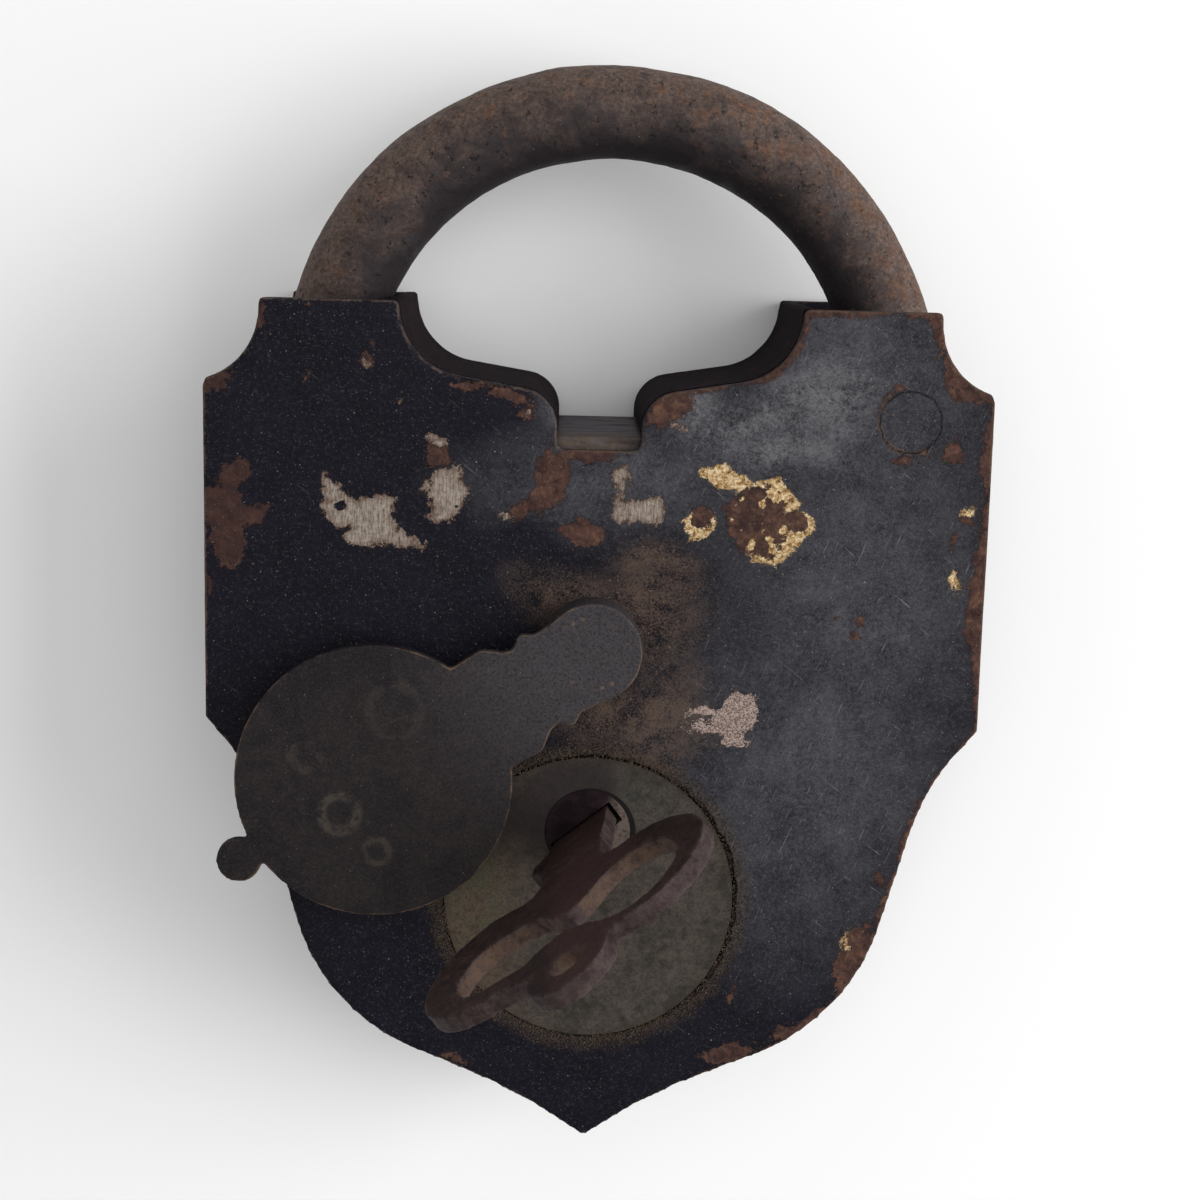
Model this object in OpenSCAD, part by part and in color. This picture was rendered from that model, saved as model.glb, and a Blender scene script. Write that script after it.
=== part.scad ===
// Large shield-shaped sheet iron padlock with a swinging keyhole drop, a five pin brass cylinder
// and its flat steel key. It lies on its back plate: +Z up out of the front plate, +Y towards the
// shackle. The design frame has its origin at the cylinder's centre; placed() moves it so that the
// finished part stands on z = 0 with its origin under the middle of its bounding box.

/* [Case] */
// Width across the shoulders
body_w = 110; // [104:1:134]
// Height from the bottom point to the tops of the ears
body_h = 121.7; // [116:0.1:148]
// Depth over the front and back plates
body_t = 38; // [36:0.5:46]
// Thickness of the front and back plates
plate_t = 2; // [1.6:0.1:2.6]
// Thickness of the edge strips between the plates
rim_t = 1.6; // [1:0.1:2.2]

/* [Case outline] */
// Height of the cylinder's centre above the bottom point
cyl_up = 36.7; // [34:0.1:42]
// Drop from the ear tops to the shoulder corners
shoulder_drop = 11.3; // [10:0.1:13]
// Length of each straight side
side_h = 48.3; // [42:0.1:54]
// Width of each ear at its top
ear_w = 19.4; // [18:0.1:22]
// Setback of each ear's outer side from the shoulder
ear_set = 7.6; // [6:0.1:9]
// Radius of the hollow between each ear and its shoulder
flank_r = 10.9; // [6:0.1:12]
// Radius of the valley's hollow beside each ear
valley_r = 9.9; // [6:0.1:12]
// Depth of the valley's outer corners below the ear tops
valley_d = 9; // [8:0.1:11]
// Depth of the bulges beside the notch below the ear tops
bulge_d = 12.5; // [11:0.1:14]
// Radius of the bulges beside the notch
bulge_r = 5.6; // [3:0.1:7]
// Width of the notch between the bulges
notch_w = 11.6; // [9:0.1:14]
// Depth of the notch's floor below the ear tops
notch_d = 20.1; // [18:0.1:21]
// How far the saddle strip stands up from the notch's floor
saddle_up = 1.6; // [0.5:0.1:3]
// How far the sides draw in and down under the lower corners
waist_in = 6.6; // [5:0.1:8]
// Radius of the hollow under each lower corner
waist_r = 34; // [20:1:36]
// Distance of the belly's corner from the side
belly_in = 16.6; // [14:0.1:20]
// Height of the belly's corner above the bottom point
belly_up = 18.2; // [16:0.1:20]
// Radius of the belly
belly_r = 30; // [20:1:34]
// Half width over the point's hollows
point_w = 10.2; // [8:0.1:12]
// Height of the point's hollows above the bottom point
point_up = 7.4; // [6:0.1:9]
// Radius of the point's hollows
point_r = 84; // [60:1:90]
// Radius of the bottom point itself
tip_r = 1.5; // [1:0.1:3]

/* [Shackle] */
// Diameter of the shackle's bar
bar_d = 14; // [12:0.1:17]
// Distance of the heel pin from the side of the case
heel_in = 11.5; // [10.8:0.1:13]
// Depth of the heel pin below the ear tops
shackle_drop = 15; // [13:0.1:16]
// Length of the toe below the heel pin's height
toe_len = 18; // [17:0.1:20]
// Gap between the toe and the valley lining
toe_gap = 3.7; // [3.4:0.1:5]
// Radius of the heel pin
heel_pin_r = 4; // [3:0.1:4.5]
// Depth of the notch in the toe
toe_notch = 5.6; // [5.4:0.1:6]
// Length left open in the edge strips under the shoulders, where the heel swings
heel_slot = 8; // [7:0.1:12]

/* [Cylinder] */
// Radius of the cylinder's face
face_r = 20.8; // [18:0.1:22]
// Radius of the flange behind the front plate
flange_r = 23.5; // [22.5:0.1:25]
// Thickness of the flange and the face together
face_t = 4.8; // [4:0.1:6]
// Length of the cylinder behind the face of the case
cyl_len = 21; // [20:0.1:22]
// Offset of the plug from the cylinder's centre, sideways
plug_x = -0.3; // [-1:0.1:1]
// Offset of the plug from the cylinder's centre, upwards
plug_y = 10; // [9:0.1:11]
// Radius of the plug
plug_r = 6.05; // [6:0.05:6.4]
// Wall round the plug behind the flange
barrel_wall = 3.4; // [2.5:0.1:4]
// Width of the pin tower
tower_w = 9.2; // [7:0.1:11]
// Depth of the pin chambers outside the plug
chamber_len = 13; // [11:0.1:14]
// Radius of the pins
pin_r = 1.2; // [1:0.05:1.3]
// Depth of the first pin behind the face
pin_first = 3.2; // [3:0.1:3.4]
// Distance from pin to pin
pin_pitch = 3.4; // [3.3:0.05:3.4]
// Length of the driver pins
driver_len = 3.6; // [3:0.1:4.5]

/* [Key] */
// Thickness of the key
key_t = 2.9; // [2:0.1:3]
// Distance from the plug's axis to the bitted edge of the blade
key_bit = 5.4; // [5:0.05:5.4]
// Distance from the plug's axis to the back edge of the blade
key_back = 4.4; // [3.8:0.1:4.6]
// Depths of the bitting cuts, from the shoulder to the tip
key_cuts = [1.2, 2.6, 0.8, 2, 1.4]; // [0.6:0.1:3]
// Height of the neck where the bow begins
neck_h = 13; // [11:0.1:16]
// Distance of the bow's two lobes from its middle line
lobe_x = 11.7; // [11:0.1:13]
// Height of the lobes above the neck
lobe_h = 15.5; // [14:0.1:17]
// Radius of the lobes
lobe_r = 11.2; // [10:0.1:12]
// Radius of the larger opening
eye_r = 7.5; // [6:0.1:7.6]
// Radius of the ends of the lower opening
low_eye_r = 5.75; // [5:0.05:6]
// Height of the end lobe above the neck
end_h = 29.2; // [28:0.1:31]
// Sideways offset of the end lobe from the bow's middle line
end_x = 2.4; // [0:0.1:3]
// Radius of the end lobe
end_r = 6.4; // [5.5:0.1:7.5]
// Radius of the ring hole in the end lobe
ring_hole_r = 2.4; // [1.8:0.1:2.8]
// Lean of the bow in its own plane, in degrees
bow_lean = 11; // [0:0.5:12]
// Bend of the bow out of its own plane, in degrees
bow_bend = 6; // [0:0.5:8]
// Turn of the key from home in the stored pose, in degrees
key_turned = 52; // [40:1:60]

/* [Bolt] */
// Thickness of the bolt plate
bolt_t = 3.5; // [2.5:0.1:4]
// Height of the bolt's cross bar
bolt_bar_h = 13; // [12:0.1:15]
// Throw radius of the cam's pin
throw_r = 6.36; // [6:0.01:6.6]
// Radius of the cam's pin
cam_pin_r = 1.5; // [1.2:0.1:1.8]
// Thickness of the cam
cam_t = 3.2; // [2.8:0.1:3.6]
// Radius of the cam
cam_r = 8.6; // [8.2:0.1:9]
// Half distance between the two bolt guide posts
post_x = 16; // [15:0.1:17]

/* [Drop] */
// Distance of the drop's pivot above the cylinder's centre
drop_up = 37.4; // [36:0.1:40]
// Distance of the drop's disc from the pivot
drop_reach = 35.6; // [34:0.1:37]
// Radius of the drop's disc
drop_disc_r = 19.5; // [18:0.1:20.4]
// Radius of the pivot end
drop_eye_r = 7; // [6.5:0.1:8]
// Thickness of the drop
drop_t = 1.8; // [1.2:0.1:2.4]
// Height of the boss that carries the drop
boss_h = 5.1; // [4:0.1:6]
// Radius of the finger tab
tab_r = 3.2; // [2.5:0.1:4]
// Swing of the drop from hanging in the stored pose, in degrees
drop_swung = 58; // [45:1:75]

/* [Fits] */
// Running clearance round the turning pins
run_gap = 0.05; // [0.03:0.01:0.08]
// Side clearance of sliding and swinging pieces
slide_gap = 0.2; // [0.15:0.05:0.3]
// Clearance of the cam's pin in the bolt's fork
fork_gap = 0.3; // [0.25:0.01:0.35]

/* [Hidden] */
$fn = 64;
tiny = 0.01;

iron_black = [0.15, 0.16, 0.2];
rust_brown = [0.33, 0.22, 0.15];
old_brass = [0.36, 0.34, 0.24];
key_brown = [0.3, 0.19, 0.16];
dull_steel = [0.42, 0.41, 0.4];

hw = body_w / 2;
ear_y = body_h - cyl_up;
ear_out = hw - ear_set;
ear_in = ear_out - ear_w;
shoulder_y = ear_y - shoulder_drop;
side_low = shoulder_y - side_h;
flank_up = 2.5;
front_z = body_t - plate_t;
mid_z = body_t / 2;

// Right half of the case outline from the notch to the point, as [x, y, fillet radius].
half_case = [
    [notch_w / 2, ear_y - notch_d, 0.8],
    [notch_w / 2, ear_y - bulge_d, bulge_r],
    [ear_in - 0.6, ear_y - valley_d, valley_r],
    [ear_in, ear_y, 0.6],
    [ear_out, ear_y, 0.8],
    [ear_out, shoulder_y + flank_up, flank_r],
    [hw, shoulder_y, 0.8],
    [hw, side_low, 0.8],
    [hw - waist_in, side_low - waist_in, waist_r],
    [hw - belly_in, belly_up - cyl_up, belly_r],
    [point_w, point_up - cyl_up, point_r]
];
case_corners = concat(half_case, [[0, -cyl_up, tip_r]],
    [for (i = [len(half_case) - 1:-1:0]) [-half_case[i][0], half_case[i][1], half_case[i][2]]]);

// The shackle is a half ring on the heel pin with a straight toe.
shackle_y = ear_y - shackle_drop;
heel_x = hw - heel_in;
toe_x = -(ear_in + rim_t + toe_gap + bar_d / 2);
shackle_r = (heel_x - toe_x) / 2;
shackle_x = (heel_x + toe_x) / 2;
toe_low = shackle_y - toe_len;

// The cam, bolt and cylinder stack up behind the front plate.
cyl_z = body_t - cyl_len;
cam_top = cyl_z - 0.6;
cam_z = cam_top - cam_t;
bolt_z = cam_z - slide_gap - bolt_t;
bore_r = plug_r + run_gap;
pin_hole_r = pin_r + run_gap;
tower_low = plug_y - bore_r - chamber_len;
face_gap = 0.1;
barrel_len = cyl_len - face_t + 0.5;

// The cam's pin throws the bolt evenly either side of straight up, 45 degrees each way.
throw_half = 45;
throw_rate = 2 * throw_r * sin(throw_half) / (2 * throw_half * PI / 180);
rest_turn = throw_half - key_turned;
bolt_out = throw_rate * key_turned * PI / 180;
bolt_back = throw_rate * (2 * throw_half - key_turned) * PI / 180;
fork_x = plug_x - throw_rate * rest_turn * PI / 180;
fork_half = cam_pin_r + fork_gap;
bar_top = shackle_y - 8;
bar_low = bar_top - bolt_bar_h;
nose_h = 5.5;
nose_t = 8;
nose_gap = 0.3;
nose_tip = toe_x + bar_d / 2 + nose_gap;
riser_x = nose_tip + bolt_out;
riser_w = 4;
bar_right = post_x + bolt_out + 5.8;
post_y = bar_top - bolt_bar_h / 2;
post_neck_r = 2;
slot_half = post_neck_r + 0.1;

// The drop turns on a boss; the key on the plug's axis.
drop_x = plug_x;
drop_z = body_t + boss_h + 0.1;
drop_angle = 270 - drop_swung;
drop_pin_r = 2.2;
key_angle = 90 - key_turned;
blade_len = pin_first + 4 * pin_pitch + 2.1;

// The origin lies under the middle of the bounding box.
tip_turn = abs(corner_turn(case_corners, len(half_case)));
y_min = -cyl_up + tip_r * (1 / cos(tip_turn / 2) - 1);
y_max = shackle_y + shackle_r + bar_d / 2;
mid_y = (y_min + y_max) / 2;

// Outlines with rounded corners: each corner is [x, y, r], and r is limited by its two sides.
function at(p, i) = let (q = p[(i + len(p)) % len(p)]) [q[0], q[1]];
function corner_turn(p, i) =
    let (a = at(p, i) - at(p, i - 1), b = at(p, i + 1) - at(p, i)) atan2(cross(a, b), a * b);
function setback(p, i) =
    let (k = (i + len(p)) % len(p)) p[k][2] * tan(abs(corner_turn(p, k)) / 2);
function share(p, i) =
    0.98 * norm(at(p, i + 1) - at(p, i)) / max(setback(p, i) + setback(p, i + 1), tiny);
function fitted_r(p, i) = p[i][2] * min(1, share(p, i - 1), share(p, i));
function corner_arc(p, i, step = 6) =
    let (t = corner_turn(p, i), r = fitted_r(p, i), c = at(p, i),
        d = (c - at(p, i - 1)) / norm(c - at(p, i - 1)),
        s = c - d * r * tan(abs(t) / 2), side = t < 0 ? -1 : 1,
        m = s + side * r * [-d[1], d[0]], n = max(1, ceil(abs(t) / step)))
    r < tiny ? [c] : [for (k = [0:n]) let (w = k * t / n, v = s - m)
        m + [v[0] * cos(w) - v[1] * sin(w), v[0] * sin(w) + v[1] * cos(w)]];
function rounded(p) = [for (i = [0:len(p) - 1]) each corner_arc(p, i)];

// A closed tube along a coil: rings of the wire's section, joined by triangles and two end caps.
module coil(r, wire, pitch, turns, steps = 8, sides = 4) {
    n = turns * steps;
    rings = [for (i = [0:n]) let (w = i * 360 / steps) for (j = [0:sides - 1])
        let (q = r + wire * cos(j * 360 / sides))
        [q * cos(w), q * sin(w), wire * sin(j * 360 / sides) + i * pitch / steps]];
    walls = [for (i = [0:n - 1]) for (j = [0:sides - 1]) let (k = (j + 1) % sides, a = i * sides)
        each [[a + k, a + j, a + sides + j], [a + k, a + sides + j, a + sides + k]]];
    caps = [[for (j = [0:sides - 1]) j], [for (j = [sides - 1:-1:0]) n * sides + j]];
    polyhedron(rings, concat(walls, caps));
}

module placed() { translate([0, -mid_y, 0]) children(); }
module at_plug() { translate([plug_x, plug_y, 0]) children(); }
module at_key() { at_plug() rotate([0, 0, key_angle]) children(); }
module at_heel() { translate([heel_x, shackle_y, 0]) children(); }
module case_outline() { polygon(rounded(case_corners)); }
module edge_band() { difference() { case_outline(); offset(delta = -rim_t) case_outline(); } }

post_spots = [[hw - 8, side_low + 8], [8 - hw, side_low + 8],
    [hw - 26, belly_up - cyl_up + 4.5], [26 - hw, belly_up - cyl_up + 4.5], [0, 8.7 - cyl_up]];
tenon_r = 2;
tenon_gap = 0.02;
tenon_blind = 1.2;
screw_spots = [[13.5, -3], [-13.5, -3]];
screw_r = 1.7;
head_r = 3.4;
head_t = 1.7;
spring_x = plug_x + 17.3;
spring_r = 8.5;
spring_t = 0.5;
stud_turn = -20;

module front_plate() {
    color(iron_black) placed() difference() {
        translate([0, 0, front_z]) linear_extrude(plate_t) case_outline();
        translate([0, 0, front_z - 1]) cylinder(r = face_r + face_gap, h = plate_t + 2);
        at_heel() translate([0, 0, front_z - 1]) cylinder(r = heel_pin_r + tenon_gap, h = plate_t + 2);
        translate([drop_x, drop_up, front_z - 1]) cylinder(r = drop_pin_r + tenon_gap, h = plate_t + 2);
        for (p = post_spots) translate([p[0], p[1], front_z - 1])
            cylinder(r = tenon_r + tenon_gap, h = 1 + tenon_blind);
    }
}

module back_plate() {
    color(iron_black) placed() difference() {
        linear_extrude(plate_t) case_outline();
        at_heel() translate([0, 0, -1]) cylinder(r = heel_pin_r + tenon_gap, h = plate_t + 2);
        for (p = post_spots) translate([p[0], p[1], -1])
            cylinder(r = tenon_r + tenon_gap, h = plate_t + 2);
        for (p = screw_spots) translate([p[0], p[1], 0]) {
            translate([0, 0, -1]) cylinder(r = screw_r + run_gap, h = plate_t + 2);
            translate([0, 0, -tiny]) cylinder(r1 = head_r + run_gap, r2 = screw_r + run_gap, h = head_t);
        }
    }
}

// Ground plan of the valley's lining, from ear to ear.
module saddle_zone() {
    translate([-ear_in - rim_t, ear_y - notch_d - rim_t - 1])
        square([2 * (ear_in + rim_t), notch_d + rim_t + 2]);
}

// Half of the band under the shoulders, from the heel slot down to the point.
module rim_half(side) {
    placed() translate([0, 0, plate_t]) linear_extrude(front_z - plate_t) difference() {
        intersection() {
            edge_band();
            translate([side > 0 ? tiny : -hw - 1, -cyl_up - 1])
                square([hw + 1 - tiny, cyl_up + 1 + shoulder_y - heel_slot]);
        }
        saddle_zone();
    }
}
module rim_left() { color(iron_black) rim_half(-1); }
module rim_right() { color(iron_black) rim_half(1); }

module saddle_strip() {
    color(iron_black) placed() translate([0, 0, plate_t]) union() {
        linear_extrude(front_z - plate_t) intersection() { edge_band(); saddle_zone(); }
        translate([-(notch_w + rim_t) / 2, ear_y - notch_d - rim_t / 2, 0])
            cube([notch_w + rim_t, saddle_up + rim_t / 2, front_z - plate_t]);
    }
}

module case_posts() {
    color(dull_steel) placed() for (p = post_spots) translate([p[0], p[1], 0]) {
        cylinder(r = tenon_r, h = front_z + tenon_blind);
        translate([0, 0, plate_t]) cylinder(r = tenon_r + 1, h = front_z - plate_t);
    }
}

module shackle_pin() { color(dull_steel) placed() at_heel() cylinder(r = heel_pin_r, h = body_t); }

module heel_spacers() {
    color(dull_steel) placed() at_heel()
        for (z = [plate_t, mid_z + bar_d / 2 + slide_gap]) translate([0, 0, z]) difference() {
            cylinder(r = heel_pin_r + 2.2, h = front_z - mid_z - bar_d / 2 - slide_gap);
            translate([0, 0, -1]) cylinder(r = heel_pin_r + run_gap, h = body_t);
        }
}

module toe_guides() {
    guide_h = front_z - mid_z - bar_d / 2 - slide_gap;
    color(dull_steel) placed() for (z = [plate_t, front_z - guide_h])
        translate([toe_x - bar_d / 2, toe_low + 2, z]) cube([bar_d - 0.6, toe_len - 2, guide_h]);
}

// Face and flange, the barrel round the plug and the pin tower below it.
module cylinder_body() {
    color(old_brass) placed() difference() {
        union() {
            translate([0, 0, body_t - face_t]) cylinder(r = face_r, h = face_t);
            translate([0, 0, body_t - face_t]) cylinder(r = flange_r, h = face_t - plate_t);
            at_plug() translate([0, 0, cyl_z]) cylinder(r = bore_r + barrel_wall, h = barrel_len);
            translate([plug_x - tower_w / 2, tower_low, cyl_z])
                cube([tower_w, plug_y - tower_low, barrel_len]);
        }
        at_plug() translate([0, 0, cyl_z - 1]) cylinder(r = bore_r, h = cyl_len + 2);
        for (k = [0:4]) translate([plug_x, plug_y - 2, body_t - pin_first - k * pin_pitch])
            rotate([90, 0, 0]) cylinder(r = pin_hole_r, h = plug_y - 2 - tower_low + 1);
        for (p = screw_spots) translate([p[0], p[1], body_t - face_t - 1])
            cylinder(r = screw_r + run_gap, h = face_t - 0.2);
    }
}

module chamber_cover() {
    color(old_brass) placed()
        translate([plug_x - tower_w / 2 + 1, tower_low - 1.2, cyl_z + 0.5])
        cube([tower_w - 2, 1.2, body_t - face_t - cyl_z - 1]);
}

module cylinder_screws() {
    color(dull_steel) placed() for (p = screw_spots) translate([p[0], p[1], 0]) difference() {
        union() {
            cylinder(r1 = head_r, r2 = screw_r, h = head_t);
            cylinder(r = screw_r, h = body_t - 1.4);
        }
        translate([-head_r - 1, -0.4, -1]) cube([2 * head_r + 2, 0.8, 1.9]);
    }
}

module driver_pins() {
    color(dull_steel) placed() at_plug() for (k = [0:4])
        translate([0, -plug_r - run_gap - 0.05, body_t - pin_first - k * pin_pitch])
        rotate([90, 0, 0]) cylinder(r = pin_r, h = driver_len);
}

module chamber_springs() {
    start = plug_r + run_gap + 0.05 + driver_len + 0.3;
    room = bore_r + chamber_len - start - 0.5;
    color(dull_steel) placed() at_plug() for (k = [0:4])
        translate([0, -start, body_t - pin_first - k * pin_pitch]) rotate([90, 0, 0])
        coil(pin_r - 0.25, 0.2, room / 5, 5);
}

// Shouldered posts: the bolt slides on the shoulder, under the head.
module bolt_posts() {
    color(dull_steel) placed() for (s = [-1, 1]) translate([s * post_x, post_y, plate_t]) {
        cylinder(r = 3.2, h = bolt_z - slide_gap - plate_t);
        cylinder(r = post_neck_r, h = bolt_z + bolt_t + slide_gap + 1.4 - plate_t);
        translate([0, 0, bolt_z + bolt_t + slide_gap - plate_t]) cylinder(r = 3.2, h = 1.4);
    }
}

module leaf() {
    translate([spring_x, bar_top + slide_gap + spring_r + spring_t / 2, 0]) children();
}
module spring_stud() {
    color(dull_steel) placed() difference() {
        leaf() rotate([0, 0, stud_turn]) translate([spring_r, 0, plate_t])
            cylinder(r = 1.7, h = bolt_z + bolt_t + 1 - plate_t);
        leaf() translate([0, 0, bolt_z - 0.1]) rotate([0, 0, stud_turn - 25])
            rotate_extrude(angle = 50) translate([spring_r - spring_t / 2 - 0.05, 0])
            square([spring_t + 0.1, bolt_t + 2]);
    }
}
module leaf_spring() {
    color(dull_steel) placed() leaf() translate([0, 0, bolt_z]) rotate([0, 0, -125])
        rotate_extrude(angle = 125 + stud_turn + 10) translate([spring_r - spring_t / 2, 0])
        square([spring_t, bolt_t]);
}

module drop_boss() {
    color(iron_black) placed() translate([drop_x, drop_up, body_t]) difference() {
        cylinder(r = drop_eye_r - 0.2, h = boss_h);
        translate([0, 0, -1]) cylinder(r = drop_pin_r + run_gap, h = boss_h + 2);
    }
}

// Inner head, shank and a countersunk outer head filed flush with the drop.
module drop_rivet() {
    color(iron_black) placed() translate([drop_x, drop_up, front_z]) {
        translate([0, 0, -1.4]) cylinder(r = 4, h = 1.4);
        translate([0, 0, -1.4]) cylinder(r = drop_pin_r, h = drop_z + drop_t - front_z + 1.4);
        translate([0, 0, drop_z + drop_t - front_z - 1.2])
            cylinder(r1 = drop_pin_r, r2 = drop_pin_r + 1.2, h = 1.2);
    }
}

module shackle() {
    color(rust_brown) placed() difference() {
        union() {
            translate([shackle_x, shackle_y, mid_z])
                rotate_extrude(angle = 180) translate([shackle_r, 0]) circle(d = bar_d);
            translate([toe_x, shackle_y, mid_z]) rotate([90, 0, 0]) {
                cylinder(d = bar_d, h = toe_len - 2.2);
                translate([0, 0, toe_len - 2.2]) cylinder(d1 = bar_d, d2 = bar_d - 4.4, h = 2.2);
            }
            at_heel() translate([0, 0, mid_z - bar_d / 2]) cylinder(d = bar_d, h = bar_d);
        }
        at_heel() translate([0, 0, -1]) cylinder(r = heel_pin_r + run_gap, h = body_t + 2);
        translate([toe_x + bar_d / 2 - toe_notch, bar_top - nose_h - 0.25, mid_z - bar_d])
            cube([toe_notch + bar_d, nose_h + 0.5, 2 * bar_d]);
    }
}

// Cross bar with two guide slots, the nose at its left end and the fork for the cam's pin.
module bolt() {
    color(dull_steel) placed() difference() {
        union() {
            translate([riser_x, bar_low, bolt_z]) cube([bar_right - riser_x, bolt_bar_h, bolt_t]);
            translate([riser_x, bar_top - nose_h, bolt_z])
                cube([riser_w, nose_h, mid_z + nose_t / 2 - bolt_z]);
            translate([nose_tip, bar_top - nose_h, mid_z - nose_t / 2])
                cube([bolt_out + riser_w, nose_h, nose_t]);
            translate([fork_x - 6.7, plug_y + 1, bolt_z]) cube([13.4, bar_low - plug_y, bolt_t]);
        }
        for (s = [-1, 1]) translate([s * post_x, post_y, bolt_z - 1]) {
            for (d = [-bolt_back, bolt_out]) translate([d, 0, 0]) cylinder(r = slot_half, h = bolt_t + 2);
            translate([-bolt_back, -slot_half, 0])
                cube([bolt_back + bolt_out, 2 * slot_half, bolt_t + 2]);
        }
        translate([fork_x - fork_half, plug_y, bolt_z - 1])
            cube([2 * fork_half, throw_r + fork_half + 1, bolt_t + 2]);
    }
}

module plug() {
    slot_back = key_back + 0.6;
    slot_bit = key_bit + 0.2;
    color(old_brass) placed() at_key() difference() {
        translate([0, 0, cam_top]) cylinder(r = plug_r, h = body_t - cam_top);
        translate([-slot_bit, -key_t / 2 - slide_gap, body_t - blade_len - 0.4])
            cube([slot_bit + slot_back, key_t + 2 * slide_gap, blade_len + 1]);
        for (k = [0:4]) translate([-2, 0, body_t - pin_first - k * pin_pitch])
            rotate([0, -90, 0]) cylinder(r = pin_hole_r, h = plug_r);
        translate([0, 0, cam_top - 1]) cylinder(r = 1.25, h = 3.2);
    }
}

// Blade with its bitting, in the key's own plane: x across the blade, y up out of the plug.
module blade_2d() {
    difference() {
        polygon([[-key_bit, -blade_len + 2.4], [-key_bit + 2.4, -blade_len], [key_back - 1, -blade_len],
            [key_back, -blade_len + 1], [key_back, 1], [-key_bit, 1]]);
        for (k = [0:4]) let (c = key_cuts[k], y = -pin_first - k * pin_pitch)
            polygon([[c - key_bit, y - 0.55], [c - key_bit, y + 0.55],
                [-key_bit - 1, y + 1.55 + c], [-key_bit - 1, y - 1.55 - c]]);
    }
}

// Neck with its stop on the bitted side.
module neck_2d() {
    polygon(rounded([[-key_bit - 0.5, 0.3, 0.3], [key_back, 0.3, 0.1], [key_back - 0.4, 6, 4],
        [key_back - 1.6, neck_h + 1, 0.1], [-key_bit - 2, neck_h + 1, 0.1], [-key_bit - 2.2, 9.5, 0.8],
        [-key_bit - 4, 7.2, 0.8], [-key_bit - 3.4, 4.4, 1], [-key_bit - 0.9, 2.6, 0.8]]));
}

// Bow: two lobes and an end lobe round a double eye whose cusps nearly meet.
module bow_2d() {
    eye_x = lobe_x - 0.6;
    eye_y = lobe_h + 1.5;
    cusp = end_x / 2;
    difference() {
        union() {
            for (s = [-1, 1]) translate([s * lobe_x, lobe_h]) circle(lobe_r);
            translate([end_x, end_h]) circle(end_r);
            polygon(rounded([[-5, -1.5, 0.1], [5, -1.5, 0.1], [5.4, 4.4, 2.5], [lobe_x, lobe_h - lobe_r + 1, 0.1],
                [lobe_x, lobe_h + lobe_r - 1.2, 0.1], [end_x + end_r, end_h - 2, 1.5],
                [end_x - end_r, end_h - 1, 1.5], [-lobe_x, lobe_h + lobe_r - 1.2, 0.1],
                [-lobe_x, lobe_h - lobe_r + 1, 0.1], [-5.4, 4.4, 2.5]]));
        }
        translate([eye_x, eye_y]) circle(eye_r);
        for (d = [0, 4]) translate([d - eye_x, eye_y + 0.6]) circle(low_eye_r);
        translate([-eye_x, eye_y + 0.6 - low_eye_r]) square([4, 2 * low_eye_r]);
        polygon([[cusp - 8, eye_y - 4.4], [cusp, eye_y - 0.6], [cusp + 5.6, eye_y - 5.4],
            [cusp + 5.6, eye_y + 5.4], [cusp, eye_y + 3], [cusp - 8, eye_y + 5.8]]);
        translate([end_x, end_h]) circle(ring_hole_r);
    }
}

module key_plate() { rotate([90, 0, 0]) translate([0, 0, -key_t / 2]) linear_extrude(key_t) children(); }
module at_bow() {
    bow_x = (key_back - key_bit - 3.6) / 2 + 0.4;
    translate([bow_x, 0, neck_h]) rotate([bow_bend, 0, 0]) rotate([0, -bow_lean, 0]) children();
}
module key() {
    color(key_brown) placed() at_key() translate([0, 0, body_t]) {
        key_plate() blade_2d();
        key_plate() neck_2d();
        at_bow() key_plate() bow_2d();
    }
}

module key_pins() {
    color(old_brass) placed() at_key() for (k = [0:4])
        translate([-key_bit + key_cuts[k] - 0.08, 0, body_t - pin_first - k * pin_pitch])
        rotate([0, -90, 0]) {
            cylinder(r1 = 0.45, r2 = pin_r, h = pin_r - 0.45);
            translate([0, 0, pin_r - 0.45])
                cylinder(r = pin_r, h = plug_r - 0.05 - key_bit + key_cuts[k] - 0.08 - pin_r + 0.45);
        }
}

// The cam's pin stands straight up at the middle of its throw.
module cam() {
    color(dull_steel) placed() at_plug() rotate([0, 0, 90 + rest_turn]) difference() {
        union() {
            translate([0, 0, cam_z]) cylinder(r = cam_r, h = cam_t);
            translate([throw_r, 0, bolt_z + 0.2]) cylinder(r = cam_pin_r, h = cam_z - bolt_z);
        }
        translate([0, 0, cam_z - 1]) cylinder(r = 1.3, h = cam_t + 2);
        translate([0, 0, cam_z - tiny]) cylinder(r = 2.5, h = 1.5 + tiny);
    }
}

module cam_screw() {
    color(dull_steel) placed() at_plug() difference() {
        union() {
            translate([0, 0, cam_z + 0.1]) cylinder(r = 2.4, h = 1.4);
            translate([0, 0, cam_z + 1.5]) cylinder(r = 1.2, h = cam_t + 0.6);
        }
        translate([-3, -0.3, cam_z - 1]) cube([6, 0.6, 1.7]);
    }
}

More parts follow.
